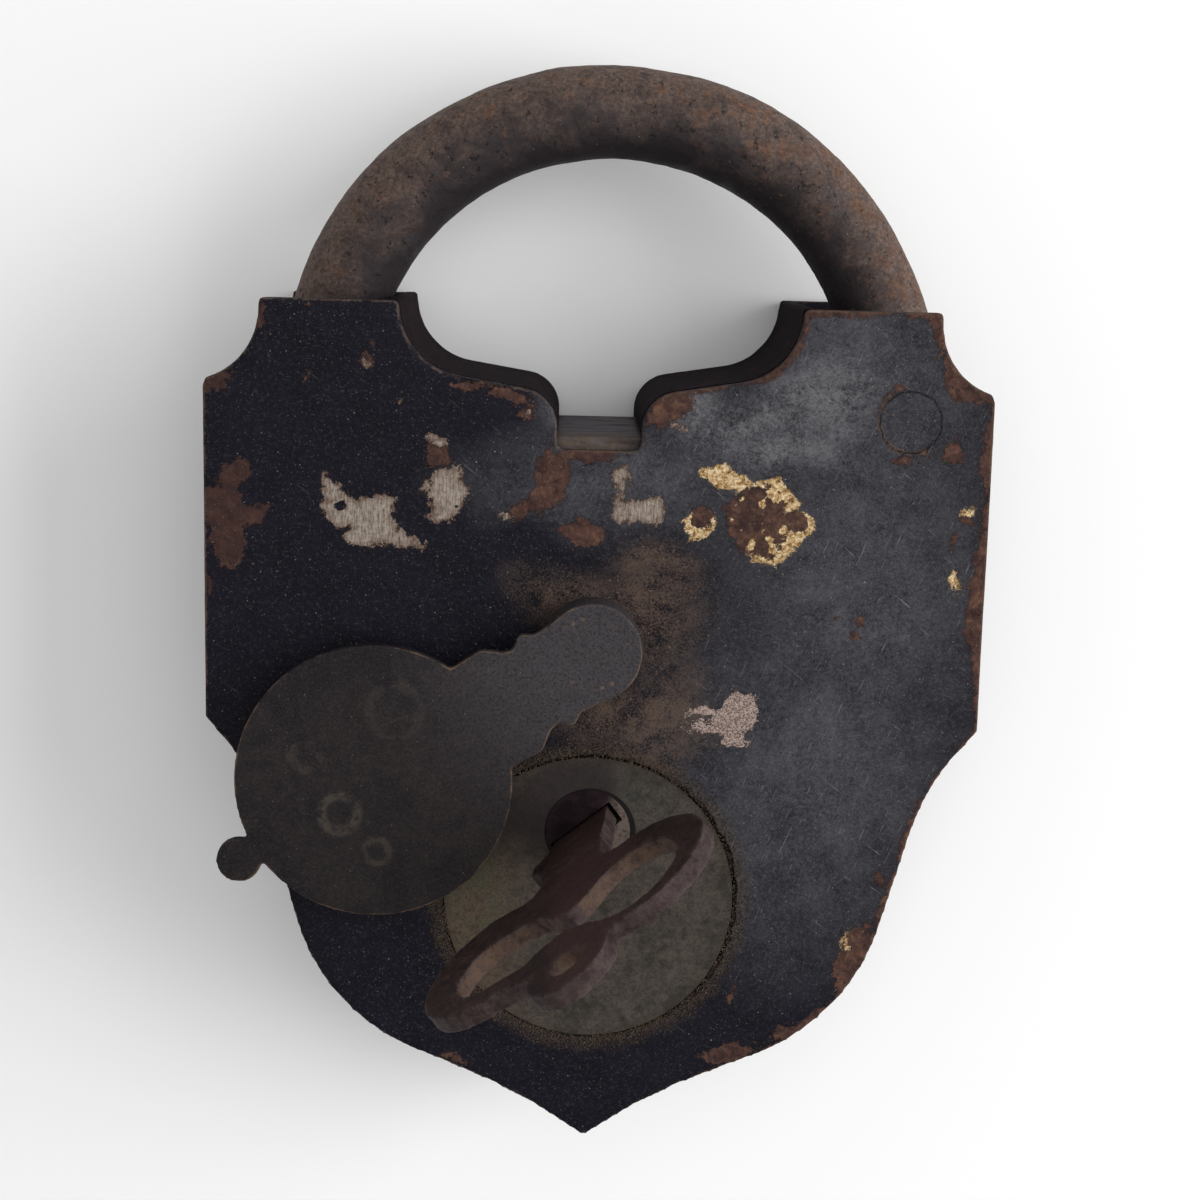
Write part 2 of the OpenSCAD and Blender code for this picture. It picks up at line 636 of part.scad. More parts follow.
// Drop along its own axis: pivot end, stepped neck, disc and finger tab.
module drop_blank() {
    tab_at = drop_reach + drop_disc_r + tab_r - 0.5;
    neck = [[0.5, drop_eye_r - 0.1, 0.1], [3, drop_eye_r - 0.4, 1], [5.6, drop_eye_r - 0.6, 1.5],
        [7.4, drop_eye_r + 0.6, 0.8], [9.3, drop_eye_r - 0.9, 0.8], [10.6, drop_eye_r - 0.5, 1],
        [13, drop_eye_r + 1.4, 1.5], [drop_reach - 16.8, drop_eye_r + 1.3, 0.1]];
    cylinder(r = drop_eye_r, h = drop_t);
    linear_extrude(drop_t) polygon(rounded(concat(neck,
        [for (i = [len(neck) - 1:-1:0]) [neck[i][0], -neck[i][1], neck[i][2]]])));
    translate([drop_reach, 0, 0]) cylinder(r = drop_disc_r, h = drop_t);
    translate([tab_at, 0, 0]) cylinder(r = tab_r, h = drop_t);
    translate([tab_at - tab_r - 1.5, -tab_r * 0.7, 0]) cube([tab_r + 1.5, tab_r * 1.4, drop_t]);
}
module drop_cover() {
    color(iron_black) placed() translate([drop_x, drop_up, drop_z]) difference() {
        rotate([0, 0, drop_angle]) drop_blank();
        translate([0, 0, -1]) cylinder(r = drop_pin_r + run_gap, h = drop_t + 2);
        translate([0, 0, drop_t - 1.2])
            cylinder(r1 = drop_pin_r + run_gap, r2 = drop_pin_r + 1.2 + run_gap, h = 1.2 + tiny);
    }
}

front_plate();
back_plate();
rim_left();
rim_right();
saddle_strip();
case_posts();
shackle_pin();
heel_spacers();
toe_guides();
cylinder_body();
chamber_cover();
cylinder_screws();
driver_pins();
chamber_springs();
bolt_posts();
spring_stud();
leaf_spring();
drop_boss();
drop_rivet();
shackle();
bolt();
plug();
key();
key_pins();
cam();
cam_screw();
drop_cover();
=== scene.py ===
"""Rusty shield padlock: weathered skins, finishes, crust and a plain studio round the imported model.

Lengths in the finishes are millimetres; Blender's own are metres.
"""
import logging
import math
from dataclasses import dataclass, field
from enum import Enum
from typing import Any, Callable, Iterable, Sequence

import bmesh
import bpy
import numpy as np
from mathutils import Matrix, Vector, noise
from mathutils.kdtree import KDTree


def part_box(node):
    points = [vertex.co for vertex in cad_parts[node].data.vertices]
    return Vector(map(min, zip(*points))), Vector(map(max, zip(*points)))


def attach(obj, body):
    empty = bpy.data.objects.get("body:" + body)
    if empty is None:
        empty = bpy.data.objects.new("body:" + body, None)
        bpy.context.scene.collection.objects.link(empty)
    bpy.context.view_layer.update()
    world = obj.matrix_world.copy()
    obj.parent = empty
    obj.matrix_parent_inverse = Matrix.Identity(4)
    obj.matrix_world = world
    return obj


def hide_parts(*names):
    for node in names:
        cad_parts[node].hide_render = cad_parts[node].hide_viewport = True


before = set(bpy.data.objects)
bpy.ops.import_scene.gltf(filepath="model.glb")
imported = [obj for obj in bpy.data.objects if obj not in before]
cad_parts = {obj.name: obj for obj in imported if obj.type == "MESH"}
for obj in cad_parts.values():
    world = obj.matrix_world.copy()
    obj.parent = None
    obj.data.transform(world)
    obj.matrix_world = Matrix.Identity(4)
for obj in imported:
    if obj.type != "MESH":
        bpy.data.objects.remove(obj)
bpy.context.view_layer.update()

LOG = logging.getLogger("padlock")
MM = 0.001
NOISE_SEED = 3
FAR = 1e3  # mm, beyond anything on the part
FLATTEN = 1e4  # Z scale that leaves only the distance on the XY plane
LID_DEPTH = 0.9 * MM
LID_SIDES = 64
SAME_PLACE = 1e-3 * MM
TRACE_STEP = 0.4 * MM
FLOOR_DROP = 0.02 * MM
SENSOR = 36.0
NEAR_CLIP = 0.01

Array = np.ndarray
Material = bpy.types.Material
Colour = Place = tuple[float, float, float]
Edge = tuple[float, float]  # where a mask is 0 and where it is 1, in mm
Stop = tuple[float, Colour]
Rule = Callable[[Array, Array], Array]
Marks = dict[str, Rule]


class Wear(Enum):
    """Whether a finish may read the distance to its piece's edges."""

    EDGES = "edges"
    FLAT = "flat"


# --- node graphs


class Wire:
    """A node socket that takes part in Python arithmetic."""

    def __init__(self, graph: "Graph", socket: bpy.types.NodeSocket) -> None:
        """Wraps one output socket of a graph's node."""
        self.graph = graph
        self.socket = socket

    def _maths(self, operation: str, *values: Any) -> "Wire":
        """Adds a Math node on the values and returns its result."""
        return self.graph.node("ShaderNodeMath", {"operation": operation}, dict(enumerate(values)))

    def __add__(self, other: Any) -> "Wire":
        """Sum."""
        return self._maths("ADD", self, other)

    def __radd__(self, other: Any) -> "Wire":
        """Sum with a plain number first."""
        return self._maths("ADD", other, self)

    def __sub__(self, other: Any) -> "Wire":
        """Difference."""
        return self._maths("SUBTRACT", self, other)

    def __rsub__(self, other: Any) -> "Wire":
        """Difference with a plain number first."""
        return self._maths("SUBTRACT", other, self)

    def __mul__(self, other: Any) -> "Wire":
        """Product."""
        return self._maths("MULTIPLY", self, other)

    def __rmul__(self, other: Any) -> "Wire":
        """Product with a plain number first."""
        return self._maths("MULTIPLY", other, self)

    def __truediv__(self, other: Any) -> "Wire":
        """Quotient."""
        return self._maths("DIVIDE", self, other)

    def __abs__(self) -> "Wire":
        """Absolute value."""
        return self._maths("ABSOLUTE", self)

    def least(self, other: Any) -> "Wire":
        """The smaller of the two."""
        return self._maths("MINIMUM", self, other)

    def most(self, other: Any) -> "Wire":
        """The larger of the two."""
        return self._maths("MAXIMUM", self, other)

    def rise(self, low: float, high: float) -> "Wire":
        """Smooth step from 0 at low to 1 at high; high may lie below low.

        Args:
            low: Value where the step starts.
            high: Value where it ends.

        Returns:
            The step, from 0 to 1.
        """
        flip = high < low
        stops = {"From Min": min(low, high), "From Max": max(low, high),
                 "To Min": 1.0 if flip else 0.0, "To Max": 0.0 if flip else 1.0}
        return self.graph.node("ShaderNodeMapRange", {"interpolation_type": "SMOOTHSTEP"},
                               {"Value": self, **stops})


class Graph:
    """A node tree with one method that adds any node."""

    def __init__(self, tree: bpy.types.NodeTree) -> None:
        """Keeps the tree that the nodes go into."""
        self.tree = tree

    def node(self, kind: str, settings: dict[str, Any] | None = None,
             inputs: dict[Any, Any] | None = None, out: int | str = 0) -> Wire:
        """Adds a node.

        Args:
            kind: The node's type name.
            settings: Properties set before its sockets; "stops" fills a colour ramp.
            inputs: Socket name or index to a number, a colour or a Wire.
            out: Name or index of the output to return.

        Returns:
            The chosen output as a Wire.
        """
        made = self.tree.nodes.new(kind)
        for key, value in (settings or {}).items():
            if key == "stops":
                ramp = made.color_ramp
                while len(ramp.elements) < len(value):
                    ramp.elements.new(0.5)
                for element, (place, colour) in zip(ramp.elements, value):
                    element.position, element.color = place, (*colour, 1)
            else:
                setattr(made, key, value)
        for key, value in (inputs or {}).items():
            socket = made.inputs[key]
            if isinstance(value, Wire):
                self.tree.links.new(value.socket, socket)
            elif isinstance(value, tuple) and socket.type == "RGBA":
                socket.default_value = (*value[:3], 1)
            else:
                socket.default_value = value
        return Wire(self, made.outputs[out]) if len(made.outputs) else Wire(self, None)


@dataclass(frozen=True)
class Spot:
    """An elliptical patch on the XY plane: centre, half sizes in mm and turn in degrees."""

    x: float
    y: float
    rx: float
    ry: float
    turn: float = 0.0

    def reach(self, at: Array) -> Array:
        """Distance of each point from the centre, 1 on the patch's rim.

        Args:
            at: Points in mm.

        Returns:
            One number for each point.
        """
        c, s = math.cos(math.radians(self.turn)), math.sin(math.radians(self.turn))
        x, y = at[:, 0] - self.x, at[:, 1] - self.y
        return np.hypot((x * c + y * s) / self.rx, (y * c - x * s) / self.ry)


Spots = tuple[Spot, ...]


def placed(name: str, data: bpy.types.ID) -> bpy.types.Object:
    """New object in the scene, at the origin."""
    obj = bpy.data.objects.new(name, data)
    bpy.context.scene.collection.objects.link(obj)
    return obj


def spots(*rows: tuple[float, ...]) -> Spots:
    """Patches from rows of their numbers."""
    return tuple(Spot(*row) for row in rows)


def shaken(at: Array, reach: float, scale: float) -> Array:
    """Points in mm, pushed about by soft noise of `scale` features per mm."""
    return at + reach * np.array([noise.noise_vector(Vector(p) * scale) for p in at])


def outside(patches: Spots) -> Rule:
    """Rule for the distance in mm from the nearest patch's torn rim, below 0 inside."""
    def rule(at: Array, _: Array) -> Array:
        """Distance for each place."""
        torn = shaken(shaken(at, 0.9, 0.35), 0.5, 0.9)
        return np.min([(s.reach(torn) - 1.0) * min(s.rx, s.ry) for s in patches], axis=0)
    return rule


def glow(patches: Spots) -> Rule:
    """Rule for a weight that fades from 1 at a patch's centre to 0 past its rim."""
    def rule(at: Array, _: Array) -> Array:
        """Weight for each place."""
        torn = shaken(at, 4.0, 0.12)
        return np.max([np.clip(1.25 - s.reach(torn), 0.0, 1.0) for s in patches], axis=0)
    return rule


class Sheet(Graph):
    """A material under construction, with its patterns on Object coordinates in millimetres."""

    def __init__(self, name: str) -> None:
        """Starts an empty material."""
        self.colour: Wire | Colour = (0.0, 0.0, 0.0)
        self.material = bpy.data.materials.new(name)
        self.material.use_nodes = True
        super().__init__(self.material.node_tree)
        self.tree.nodes.clear()
        place = self.node("ShaderNodeTexCoord", out="Object")
        self.at = self.node("ShaderNodeVectorMath", {"operation": "SCALE"},
                            {0: place, "Scale": 1.0 / MM})

    def axis(self, index: int) -> Wire:
        """One coordinate of the position, in mm."""
        return self.node("ShaderNodeSeparateXYZ", None, {0: self.at}, index)

    def noise(self, scale: float, detail: float = 3.0, rough: float = 0.55, bend: float = 0.0,
              at: Wire | None = None, out: int = 0) -> Wire:
        """Soft noise with about `scale` features per mm; out 1 gives its colour."""
        return self.node("ShaderNodeTexNoise", None, {
            "Vector": at or self.at, "Scale": scale, "Detail": detail, "Roughness": rough,
            "Distortion": bend}, out)

    def mapped(self, x: float, y: float, turn: float, size: Sequence[float],
               at: Wire | None = None) -> Wire:
        """Position as seen from a frame at x, y, turned about Z and scaled down by size."""
        return self.node("ShaderNodeMapping", {"vector_type": "TEXTURE"}, {
            "Vector": at or self.at, "Location": (x, y, 0.0),
            "Rotation": (0.0, 0.0, math.radians(turn)), "Scale": tuple(size)})

    def around(self, x: float, y: float, size: tuple[float, float] = (1.0, 1.0), turn: float = 0.0,
               at: Wire | None = None) -> Wire:
        """Distance on the XY plane from a centre, counted in an ellipse's half sizes."""
        return self.node("ShaderNodeVectorMath", {"operation": "LENGTH"},
                         {0: self.mapped(x, y, turn, (*size, FLATTEN), at)}, "Value")

    def ragged(self, reach: float, scale: float) -> Wire:
        """Position pushed about by up to half of reach mm, for uneven rims.

        Args:
            reach: Width of the push, in mm.
            scale: Features per mm.

        Returns:
            The moved position.
        """
        push = self.node("ShaderNodeVectorMath", {"operation": "SUBTRACT"},
                         {0: self.noise(scale, 4.0, 0.65, out=1), 1: (0.5, 0.5, 0.5)})
        push = self.node("ShaderNodeVectorMath", {"operation": "SCALE"}, {0: push, "Scale": reach})
        return self.node("ShaderNodeVectorMath", {"operation": "ADD"}, {0: self.at, 1: push})

    def inside(self, name: str, jag: Wire) -> Wire:
        """Mask of the patches whose distance mark is stored, torn further by jag mm."""
        return (self.mark(name) + jag).rise(0.1, -0.1)

    def ring(self, x: float, y: float, radius: float, width: float, at: Wire | None = None) -> Wire:
        """Mask along a circle on the XY plane."""
        return abs(self.around(x, y, at=at) - radius).rise(width, width * 0.3)

    def strokes(self, turn: float, across: float, along: float, level: float) -> Wire:
        """Fine scratches that run at an angle: lines where stretched noise peaks."""
        at = self.mapped(0.0, 0.0, turn, (1.0 / along, 1.0 / across, 1.0))
        return self.noise(1.0, 2.0, 0.5, 0.3, at).rise(level, level + 0.05)

    def specks(self, scale: float, reach: float, share: float) -> Wire:
        """Tiny dust points: cell centres, of which a share is kept.

        Args:
            scale: Cells per mm.
            reach: Radius of a point, in cells.
            share: Share of the cells that hold a point.

        Returns:
            Mask of the points.
        """
        near = self.node("ShaderNodeTexVoronoi", None, {"Vector": self.at, "Scale": scale})
        pick = self.node("ShaderNodeTexVoronoi", None, {"Vector": self.at, "Scale": scale}, "Color")
        grey = self.node("ShaderNodeSeparateColor", None, {0: pick}, 0)
        return near.rise(reach, reach * 0.4) * grey.rise(1.0 - share, 1.0 - share + 0.02)

    def mark(self, name: str) -> Wire:
        """A number stored on the piece's vertices."""
        return self.node("ShaderNodeAttribute", {"attribute_name": name}, None, "Fac")

    def mix(self, amount: Wire | float, first: Wire | Colour, second: Wire | Colour) -> Wire:
        """Colour between two colours."""
        return self.node("ShaderNodeMix", {"data_type": "RGBA"}, {0: amount, 6: first, 7: second}, 2)

    def tones(self, value: Wire, *stops: Stop) -> Wire:
        """Colour ramp over a number."""
        return self.node("ShaderNodeValToRGB", {"stops": stops}, {0: value})

    def coat(self, amount: Wire | float, tone: Wire | Colour) -> None:
        """Lays a tone over the colour so far."""
        self.colour = self.mix(amount, self.colour, tone)

    def finish(self, rough: Wire | float, metal: Wire | float, height: Wire,
               gloss: float = 0.25) -> Material:
        """Ends the material in its colour so far.

        Args:
            rough: Roughness.
            metal: Metalness.
            height: Relief in mm, for the bump.
            gloss: Specular level, which stays the same all over.

        Returns:
            The finished material.
        """
        relief = self.node("ShaderNodeBump", None, {"Height": height, "Distance": MM, "Strength": 1.0})
        shader = self.node("ShaderNodeBsdfPrincipled", None, {
            "Base Color": self.colour, "Roughness": rough, "Metallic": metal,
            "Specular IOR Level": gloss, "Normal": relief})
        self.node("ShaderNodeOutputMaterial", None, {"Surface": shader})
        return self.material


# --- finishes


@dataclass(frozen=True)
class Rust:
    """Iron oxide: three tones from deep to bright."""

    deep: Colour = (0.034, 0.018, 0.017)
    plain: Colour = (0.08, 0.041, 0.032)
    bright: Colour = (0.165, 0.083, 0.052)

    def tones(self, sheet: Sheet) -> Wire:
        """Mottled rust colour."""
        return sheet.tones(sheet.noise(0.7, 6.0, 0.7, 0.5), (0.36, self.deep), (0.54, self.plain),
                           (0.74, self.bright))


@dataclass(frozen=True)
class CasePaint:
    """Worn blue-black paint on sheet iron, with its losses, rust, haze and dust, and a painted sheen,
    highlight, glints and shade.

    Patches are places on the front plate, in mm from the part's origin.
    """

    rust: Rust = Rust()
    black: Colour = (0.0016, 0.0012, 0.0046)
    blue: Colour = (0.0058, 0.0048, 0.0112)
    # painted sheen: lighter grey laid in the colour on the right of the case, partly paler worn paint
    # and partly a painted reflection of the light
    sheen: Colour = (0.092, 0.09, 0.099)
    haze: Colour = (0.086, 0.058, 0.044)
    silver: Colour = (0.19, 0.148, 0.12)
    # brightest tone of the bare metal, a painted glint
    cream_glint: Colour = (0.35, 0.3, 0.25)
    gold: Colour = (0.36, 0.215, 0.085)
    dust: Colour = (0.3, 0.27, 0.23)
    # painted shade: the near-black base of the back and side paint, where little light falls
    shade_dark: Colour = (0.006, 0.005, 0.007)
    grain: Colour = (0.04, 0.038, 0.045)
    # painted highlight laid into the colour where the gleam zones lie
    painted_gleam: Colour = (0.17, 0.165, 0.175)
    rust_dust: Colour = (0.095, 0.052, 0.034)
    caked: Colour = (0.074, 0.051, 0.034)
    scratch: Colour = (0.19, 0.19, 0.2)
    stained_rim: Colour = (0.095, 0.052, 0.036)
    edge_brown: Colour = (0.105, 0.07, 0.052)
    seam: Colour = (0.003, 0.002, 0.002)
    # the top stop of each ramp is a painted glint on the gold and bare metal
    foil_and_glints: tuple[Stop, ...] = ((0.36, (0.07, 0.035, 0.02)), (0.46, gold), (0.62, (0.74, 0.6, 0.38)))
    brushed: tuple[Stop, ...] = ((0.36, (0.055, 0.034, 0.025)), (0.45, silver), (0.58, cream_glint))
    pinkish: tuple[Colour, Colour] = ((0.11, 0.075, 0.065), (0.4, 0.31, 0.27))
    # painted shade: near-black tones for the notch's walls, which get little light
    lining_shade: tuple[Stop, ...] = (
        (0.35, (0.004, 0.002, 0.003)), (0.6, (0.011, 0.0048, 0.0072)), (0.8, (0.044, 0.02, 0.016)))
    lining_grey: tuple[Stop, ...] = (
        (0.35, (0.03, 0.028, 0.035)), (0.55, (0.106, 0.094, 0.105)), (0.72, (0.165, 0.13, 0.11)))
    ochre: Colour = (0.095, 0.066, 0.04)
    lining_dust: Colour = (0.12, 0.09, 0.08)
    bare: Spots = spots(
        (-37.4, 17.2, 1.5, 2.5, 15), (-35.7, 14.5, 2.8, 2.3, -20), (-31.6, 13, 3.6, 3.6),
        (-29.7, 15.7, 1.5, 1.3), (-27.6, 10.6, 3.8, 1.1, -14), (-33.4, 11, 2.2, 1.6),
        (-20.9, 17.2, 2.8, 3.3), (-22.4, 24.6, 1.8, 0.8), (-23.9, 18, 1.2, 0.6), (-21.6, 14, 1.6, 1),
        (-19.9, 19.9, 1.4, 1.1, 50), (3.7, 19.4, 1, 2.2), (3.4, 14.9, 1.4, 1.9), (7.6, 15.2, 1.9, 2.2),
        (5.4, 15.2, 2.2, 1.8), (-12.4, 13.8, 1.1, 0.6), (-27.6, 29.7, 0.5, 0.7),
        (-32.3, 34.9, 0.4, 0.7), (10.7, 27.2, 1, 0.6), (-9.7, 28.8, 0.5, 0.5))
    pink: Spots = spots(
        (19.4, -14.8, 2.4, 2.6), (21.6, -13.4, 1.9, 2.6), (15.6, -13.6, 2.4, 0.7),
        (16.4, -15.7, 2.6, 0.7), (20.4, -17.6, 2.1, 1.1), (19.6, -11.6, 1, 1.6))
    golden: Spots = spots(
        (16.6, 20.4, 3, 1.5, -14), (20.2, 19.4, 2.8, 1.4, -20), (24, 13.9, 5, 6, 12),
        (29, 14, 1.7, 1.7), (14.4, 13.4, 2.3, 2.2), (51.8, 16.2, 1.1, 0.6, 35), (50.8, 6.5, 0.5, 1.6),
        (37.8, -47.6, 1.0, 2.0, -20))
    rusty: Spots = spots(
        (-6.2, 20.4, 2.4, 2.9), (-7.4, 16.8, 2.8, 1.9, 30), (-10.4, 14.8, 2, 0.8, 20),
        (-2.5, 11.8, 2.8, 1.9, -8), (-50.8, 19, 2.6, 1.5, 40), (-52.0, 14.4, 3.2, 3.4),
        (-48.4, 13.2, 2.6, 1.5, 15), (-51.6, 9.4, 2.6, 3.4), (-54.4, 3.6, 0.6, 1.6),
        (-53, 32, 2.6, 1.3, 20), (-47.2, 41, 1, 2, -20), (-18.2, 32, 1.7, 0.7),
        (-13.3, 31.2, 2.8, 0.8, -15), (-9.8, 28.7, 1.3, 1.1), (-1.4, 22.9, 4.4, 0.9),
        (9.5, 29.6, 3.4, 2.0, 30), (14.7, 14.4, 1.5, 1.6), (22.6, 14, 4.2, 5.2, 12),
        (28, 14.3, 1.6, 1.6), (22.2, 17.4, 1.6, 1.3), (49.7, 24.2, 1.2, 1.4),
        (42.2, 23.2, 1.5, 0.5, -8), (38.4, -49.4, 2, 5, -24), (42.4, -38, 0.8, 1.2),
        (29.4, -61, 2.2, 1.0, 25), (20.6, -64.6, 4, 1.3, 14), (21.1, -56.1, 0.4, 1.1),
        (-19, -66.4, 2, 0.6, -20), (34.8, 0.5, 0.5, 0.4), (37.5, 0.2, 0.7, 0.6), (37, -2.1, 0.9, 0.7),
        (53.6, 0, 1, 2.4), (-32.2, 35.2, 0.9, 1.2), (-31.1, 38.2, 0.5, 0.6), (-41.2, 33.2, 0.5, 0.5),
        (-40.4, 43, 0.5, 0.4), (-22.5, 22.8, 1.8, 2.1), (51.8, 15.2, 0.9, 0.8), (48.5, 41, 0.6, 1.6),
        (50, 12, 0.5, 1.2))
    chips: Spots = spots(
        (-35.9, 15.2, 1.0, 0.8), (-33.2, 17.2, 0.6, 0.4), (5.6, 17.2, 0.4, 0.8),
        (-19.8, 15.6, 0.5, 0.4))
    hazy: Spots = spots(
        (7, 1, 9, 10, 10), (9, 8, 6, 4), (8, -14, 9, 8), (-3, 4, 9, 4), (2, -13, 9, 6))
    # zones of the painted sheen and paler worn paint, weighted 1 at their centres
    shiny: Spots = spots(
        (36, 38, 26, 16, -20), (28, 26, 30, 16, 10), (13, 28, 8, 14), (38, 6, 24, 30),
        (32, -22, 24, 30), (2, 19, 22, 7), (-4, 29, 7, 5))
    # zones of a painted highlight, brighter than the sheen
    gleam: Spots = spots(
        (20, 29, 11, 4, 6), (30, 31, 9, 5, -10), (26, 25, 11, 3.5, -8), (12, 30, 4, 4))
    disc: Place = (0.0, -41.3, 20.9)
    pin_mark: tuple[float, float, float, float] = (43.3, 28.4, 4.3, 0.22)
    notch_sides: Edge = (7.0, 5.0)
    notch_top: Edge = (26.5, 25.2)

    def marks(self) -> Marks:
        """Rules for the numbers kept on the front plate's vertices.

        Returns:
            A rule for each mark.
        """
        cx, cy, radius = self.disc

        def crust(at: Array, _: Array) -> Array:
            """Distance outwards from the brass disc's rim."""
            torn = shaken(at, 0.7, 0.5)
            return np.hypot(torn[:, 0] - cx, torn[:, 1] - cy) - radius

        def flank(at: Array, _: Array) -> Array:
            """Width of the rusty band along each stretch of the outline.

            Args:
                at: Places on the plate, in mm.

            Returns:
                The width in mm at each place.
            """
            x, y = at[:, 0], at[:, 1]

            def ramp(value: Array, low: float, high: float) -> Array:
                """Straight rise from 0 to 1."""
                return np.clip((value - low) / (high - low), 0.0, 1.0)

            side = 2.6 * ramp(x, 44, 49) * ramp(y, -16, 0)
            corner = 1.2 * ramp(x - y * 0.6, 54, 64) * ramp(y, -5, -30)
            ear = 1.1 * ramp(y, 28, 34) * ramp(x, 0, 8)
            return 0.15 + side + corner + ear + 0.25 * ramp(x, -48, -53)

        def rusty(at: Array, normals: Array) -> Array:
            """Distance from the rust patches, with flecks left out over the gold.

            Args:
                at: Places on the plate, in mm.
                normals: Normals there.

            Returns:
                The distance in mm, below 0 inside.
            """
            near, gilt = outside(self.rusty)(at, normals), outside(self.golden)(at, normals)
            fleck = np.array([noise.noise(Vector(p) * 0.7) for p in at])
            return np.where(gilt < 0.0, np.maximum(near, (fleck - 0.22) * 5.0), near)

        return {"bare": outside(self.bare), "pink": outside(self.pink), "golden": outside(self.golden),
                "rusty": rusty, "chips": outside(self.chips), "hazy": glow(self.hazy),
                "shiny": glow(self.shiny), "gleam": glow(self.gleam), "crust": crust, "flank": flank}

    def front(self) -> Material:
        """Paint on the front plate, with a painted sheen, highlight and glints on its lighter places.

        Returns:
            The finished material.
        """
        s = Sheet("case_front_paint")
        cloud, fine, grit = s.noise(0.2, 7.0, 0.7), s.noise(1.5, 5.0, 0.75), s.noise(4.0, 3.0, 0.75)
        jag = (s.noise(0.8, 6.0, 0.8, 0.3) - 0.5) * 3.4
        hazy, shiny, crust = s.mark("hazy"), s.mark("shiny"), s.mark("crust")
        bare, pink = s.inside("bare", jag), s.inside("pink", jag)
        golden, chip = s.inside("golden", jag * 0.9), s.inside("chips", jag * 0.4)
        edge = s.mark("edge")
        worn = (s.mark("flank") * cloud.rise(0.3, 0.6) + (fine - 0.5) * 1.6 - edge).rise(-0.2, 0.3)
        rust_cover = s.inside("rusty", jag).most(worn) * (1 - bare) * (1 - pink)
        s.colour = s.mix((cloud * 0.6 + grit * 0.4).rise(0.36, 0.64), self.black, self.blue)
        s.coat((fine * 0.5 + grit * 0.5).rise(0.5, 0.64) * 0.5, self.grain)
        # painted sheen over the right of the case: partly worn paint, partly a painted reflection
        s.coat(shiny * (cloud * 0.5 + fine * 0.45 + grit * 0.5).rise(0.42, 1.06), self.sheen)
        # painted highlight over the gleam zones
        gleam = (cloud * 0.5 + fine * 0.5 + grit * 0.3).rise(0.5, 0.85)
        s.coat(s.mark("gleam") * gleam * 0.8, self.painted_gleam)
        s.coat(hazy * (cloud * 0.9 + grit).rise(0.74, 1.1), self.haze)
        s.coat(s.specks(1.1, 0.34, 0.45) * (hazy + 0.04) * fine.rise(0.4, 0.5), self.rust_dust)
        s.coat(crust.rise(3.2, 0.3) * grit.rise(0.38, 0.62) * 0.85, self.caked)
        lines = s.strokes(68, 4.0, 0.24, 0.67) * shiny + s.strokes(-38, 3.4, 0.2, 0.7) * (shiny + 0.25)
        s.coat(lines.least(1.0) * 0.5, self.scratch)
        # gold patches and bare metal, their brightest tones painted glints
        s.coat(golden, s.tones(s.noise(1.6, 5.0, 0.75), *self.foil_and_glints))
        streak = s.noise(1.0, 4.0, 0.7, 0.2, s.mapped(0.0, 0.0, 90, (1.6, 0.25, 1.0)))
        metal = s.tones(streak * 0.6 + fine * 0.4, *self.brushed)
        rim = (s.mark("bare") + jag).rise(-1.0, -0.1) * fine.rise(0.4, 0.56)
        s.coat(bare * (1 - chip), s.mix(rim, metal, self.stained_rim))
        s.coat(pink, s.mix(grit.rise(0.42, 0.58), *self.pinkish))
        oxide = s.mix(s.axis(0).rise(-38, -48) * 0.6, self.rust.tones(s), self.rust.deep)
        s.coat(rust_cover * (0.55 + fine).least(1.0), oxide)
        thin = (fine * 0.8 - edge).rise(-0.05, 0.15) * cloud.rise(0.36, 0.56)
        s.coat(thin * 0.8, self.edge_brown)
        specks = s.specks(1.9, 0.2, 0.5) * 0.35 + s.specks(0.9, 0.12, 0.4) * 0.6
        s.coat((specks + s.specks(0.42, 0.06, 0.3)).least(1.0) * 0.7, self.dust)
        crack = abs(crust - 0.35).rise(0.35, 0.15) * (s.axis(0) + cloud * 20).rise(20, 30)
        pin = s.ring(*self.pin_mark, s.ragged(0.7, 0.6)) * fine.rise(0.42, 0.54)
        crack = crack.most(pin * 0.7)
        s.coat(crack, self.seam)
        lost = bare.most(pink).most(golden)
        height = (cloud * 0.1 + fine * (rust_cover * 0.16 + golden * 0.12 + 0.05)
                  + grit * (lost * 0.04 + 0.03) + crust.rise(3.5, 0.6) * grit * 0.12
                  - lost * 0.1 - crack * 0.2)
        rough = 0.5 + cloud * 0.16 + rust_cover * 0.3 + hazy * 0.12 - lost * 0.1
        shine = golden * (1 - rust_cover) * 0.6 + bare.most(pink) * 0.2
        return s.finish(rough, shine, height, 0.13)

    def plain(self, name: str, brown: float, wear: Wear) -> Material:
        """Paint away from the front: darkened as a painted shade, with loose rust blooms and worn
        edges.

        Args:
            name: Name of the material.
            brown: Share of the surface that is rusty, from 0 to 1.
            wear: Whether the piece keeps the distance to its edges.

        Returns:
            The finished material.
        """
        s = Sheet(name)
        cloud, fine = s.noise(0.22, 6.0, 0.65, 0.4), s.noise(1.4, 5.0, 0.7)
        rust_cover = s.noise(0.12, 7.0, 0.72, 0.5).rise(0.66 - brown * 0.3, 0.69 - brown * 0.3)
        if wear is Wear.EDGES:
            rust_cover = rust_cover.most(((fine - 0.35) * 1.8 - s.mark("edge")).rise(-0.1, 0.2))
        # painted shade: the dark base stands for the shade on the back and sides
        s.colour = s.mix(cloud.rise(0.35, 0.65), self.shade_dark, self.blue)
        s.coat(fine.rise(0.55, 0.7) * 0.25, self.haze)
        s.coat(rust_cover, self.rust.tones(s))
        s.coat(s.specks(0.8, 0.1, 0.16) * 0.6, self.dust)
        height = cloud * 0.12 + fine * 0.05 + rust_cover * fine * 0.16
        return s.finish(0.52 + cloud * 0.14 + rust_cover * 0.28, 0.0, height, 0.15)

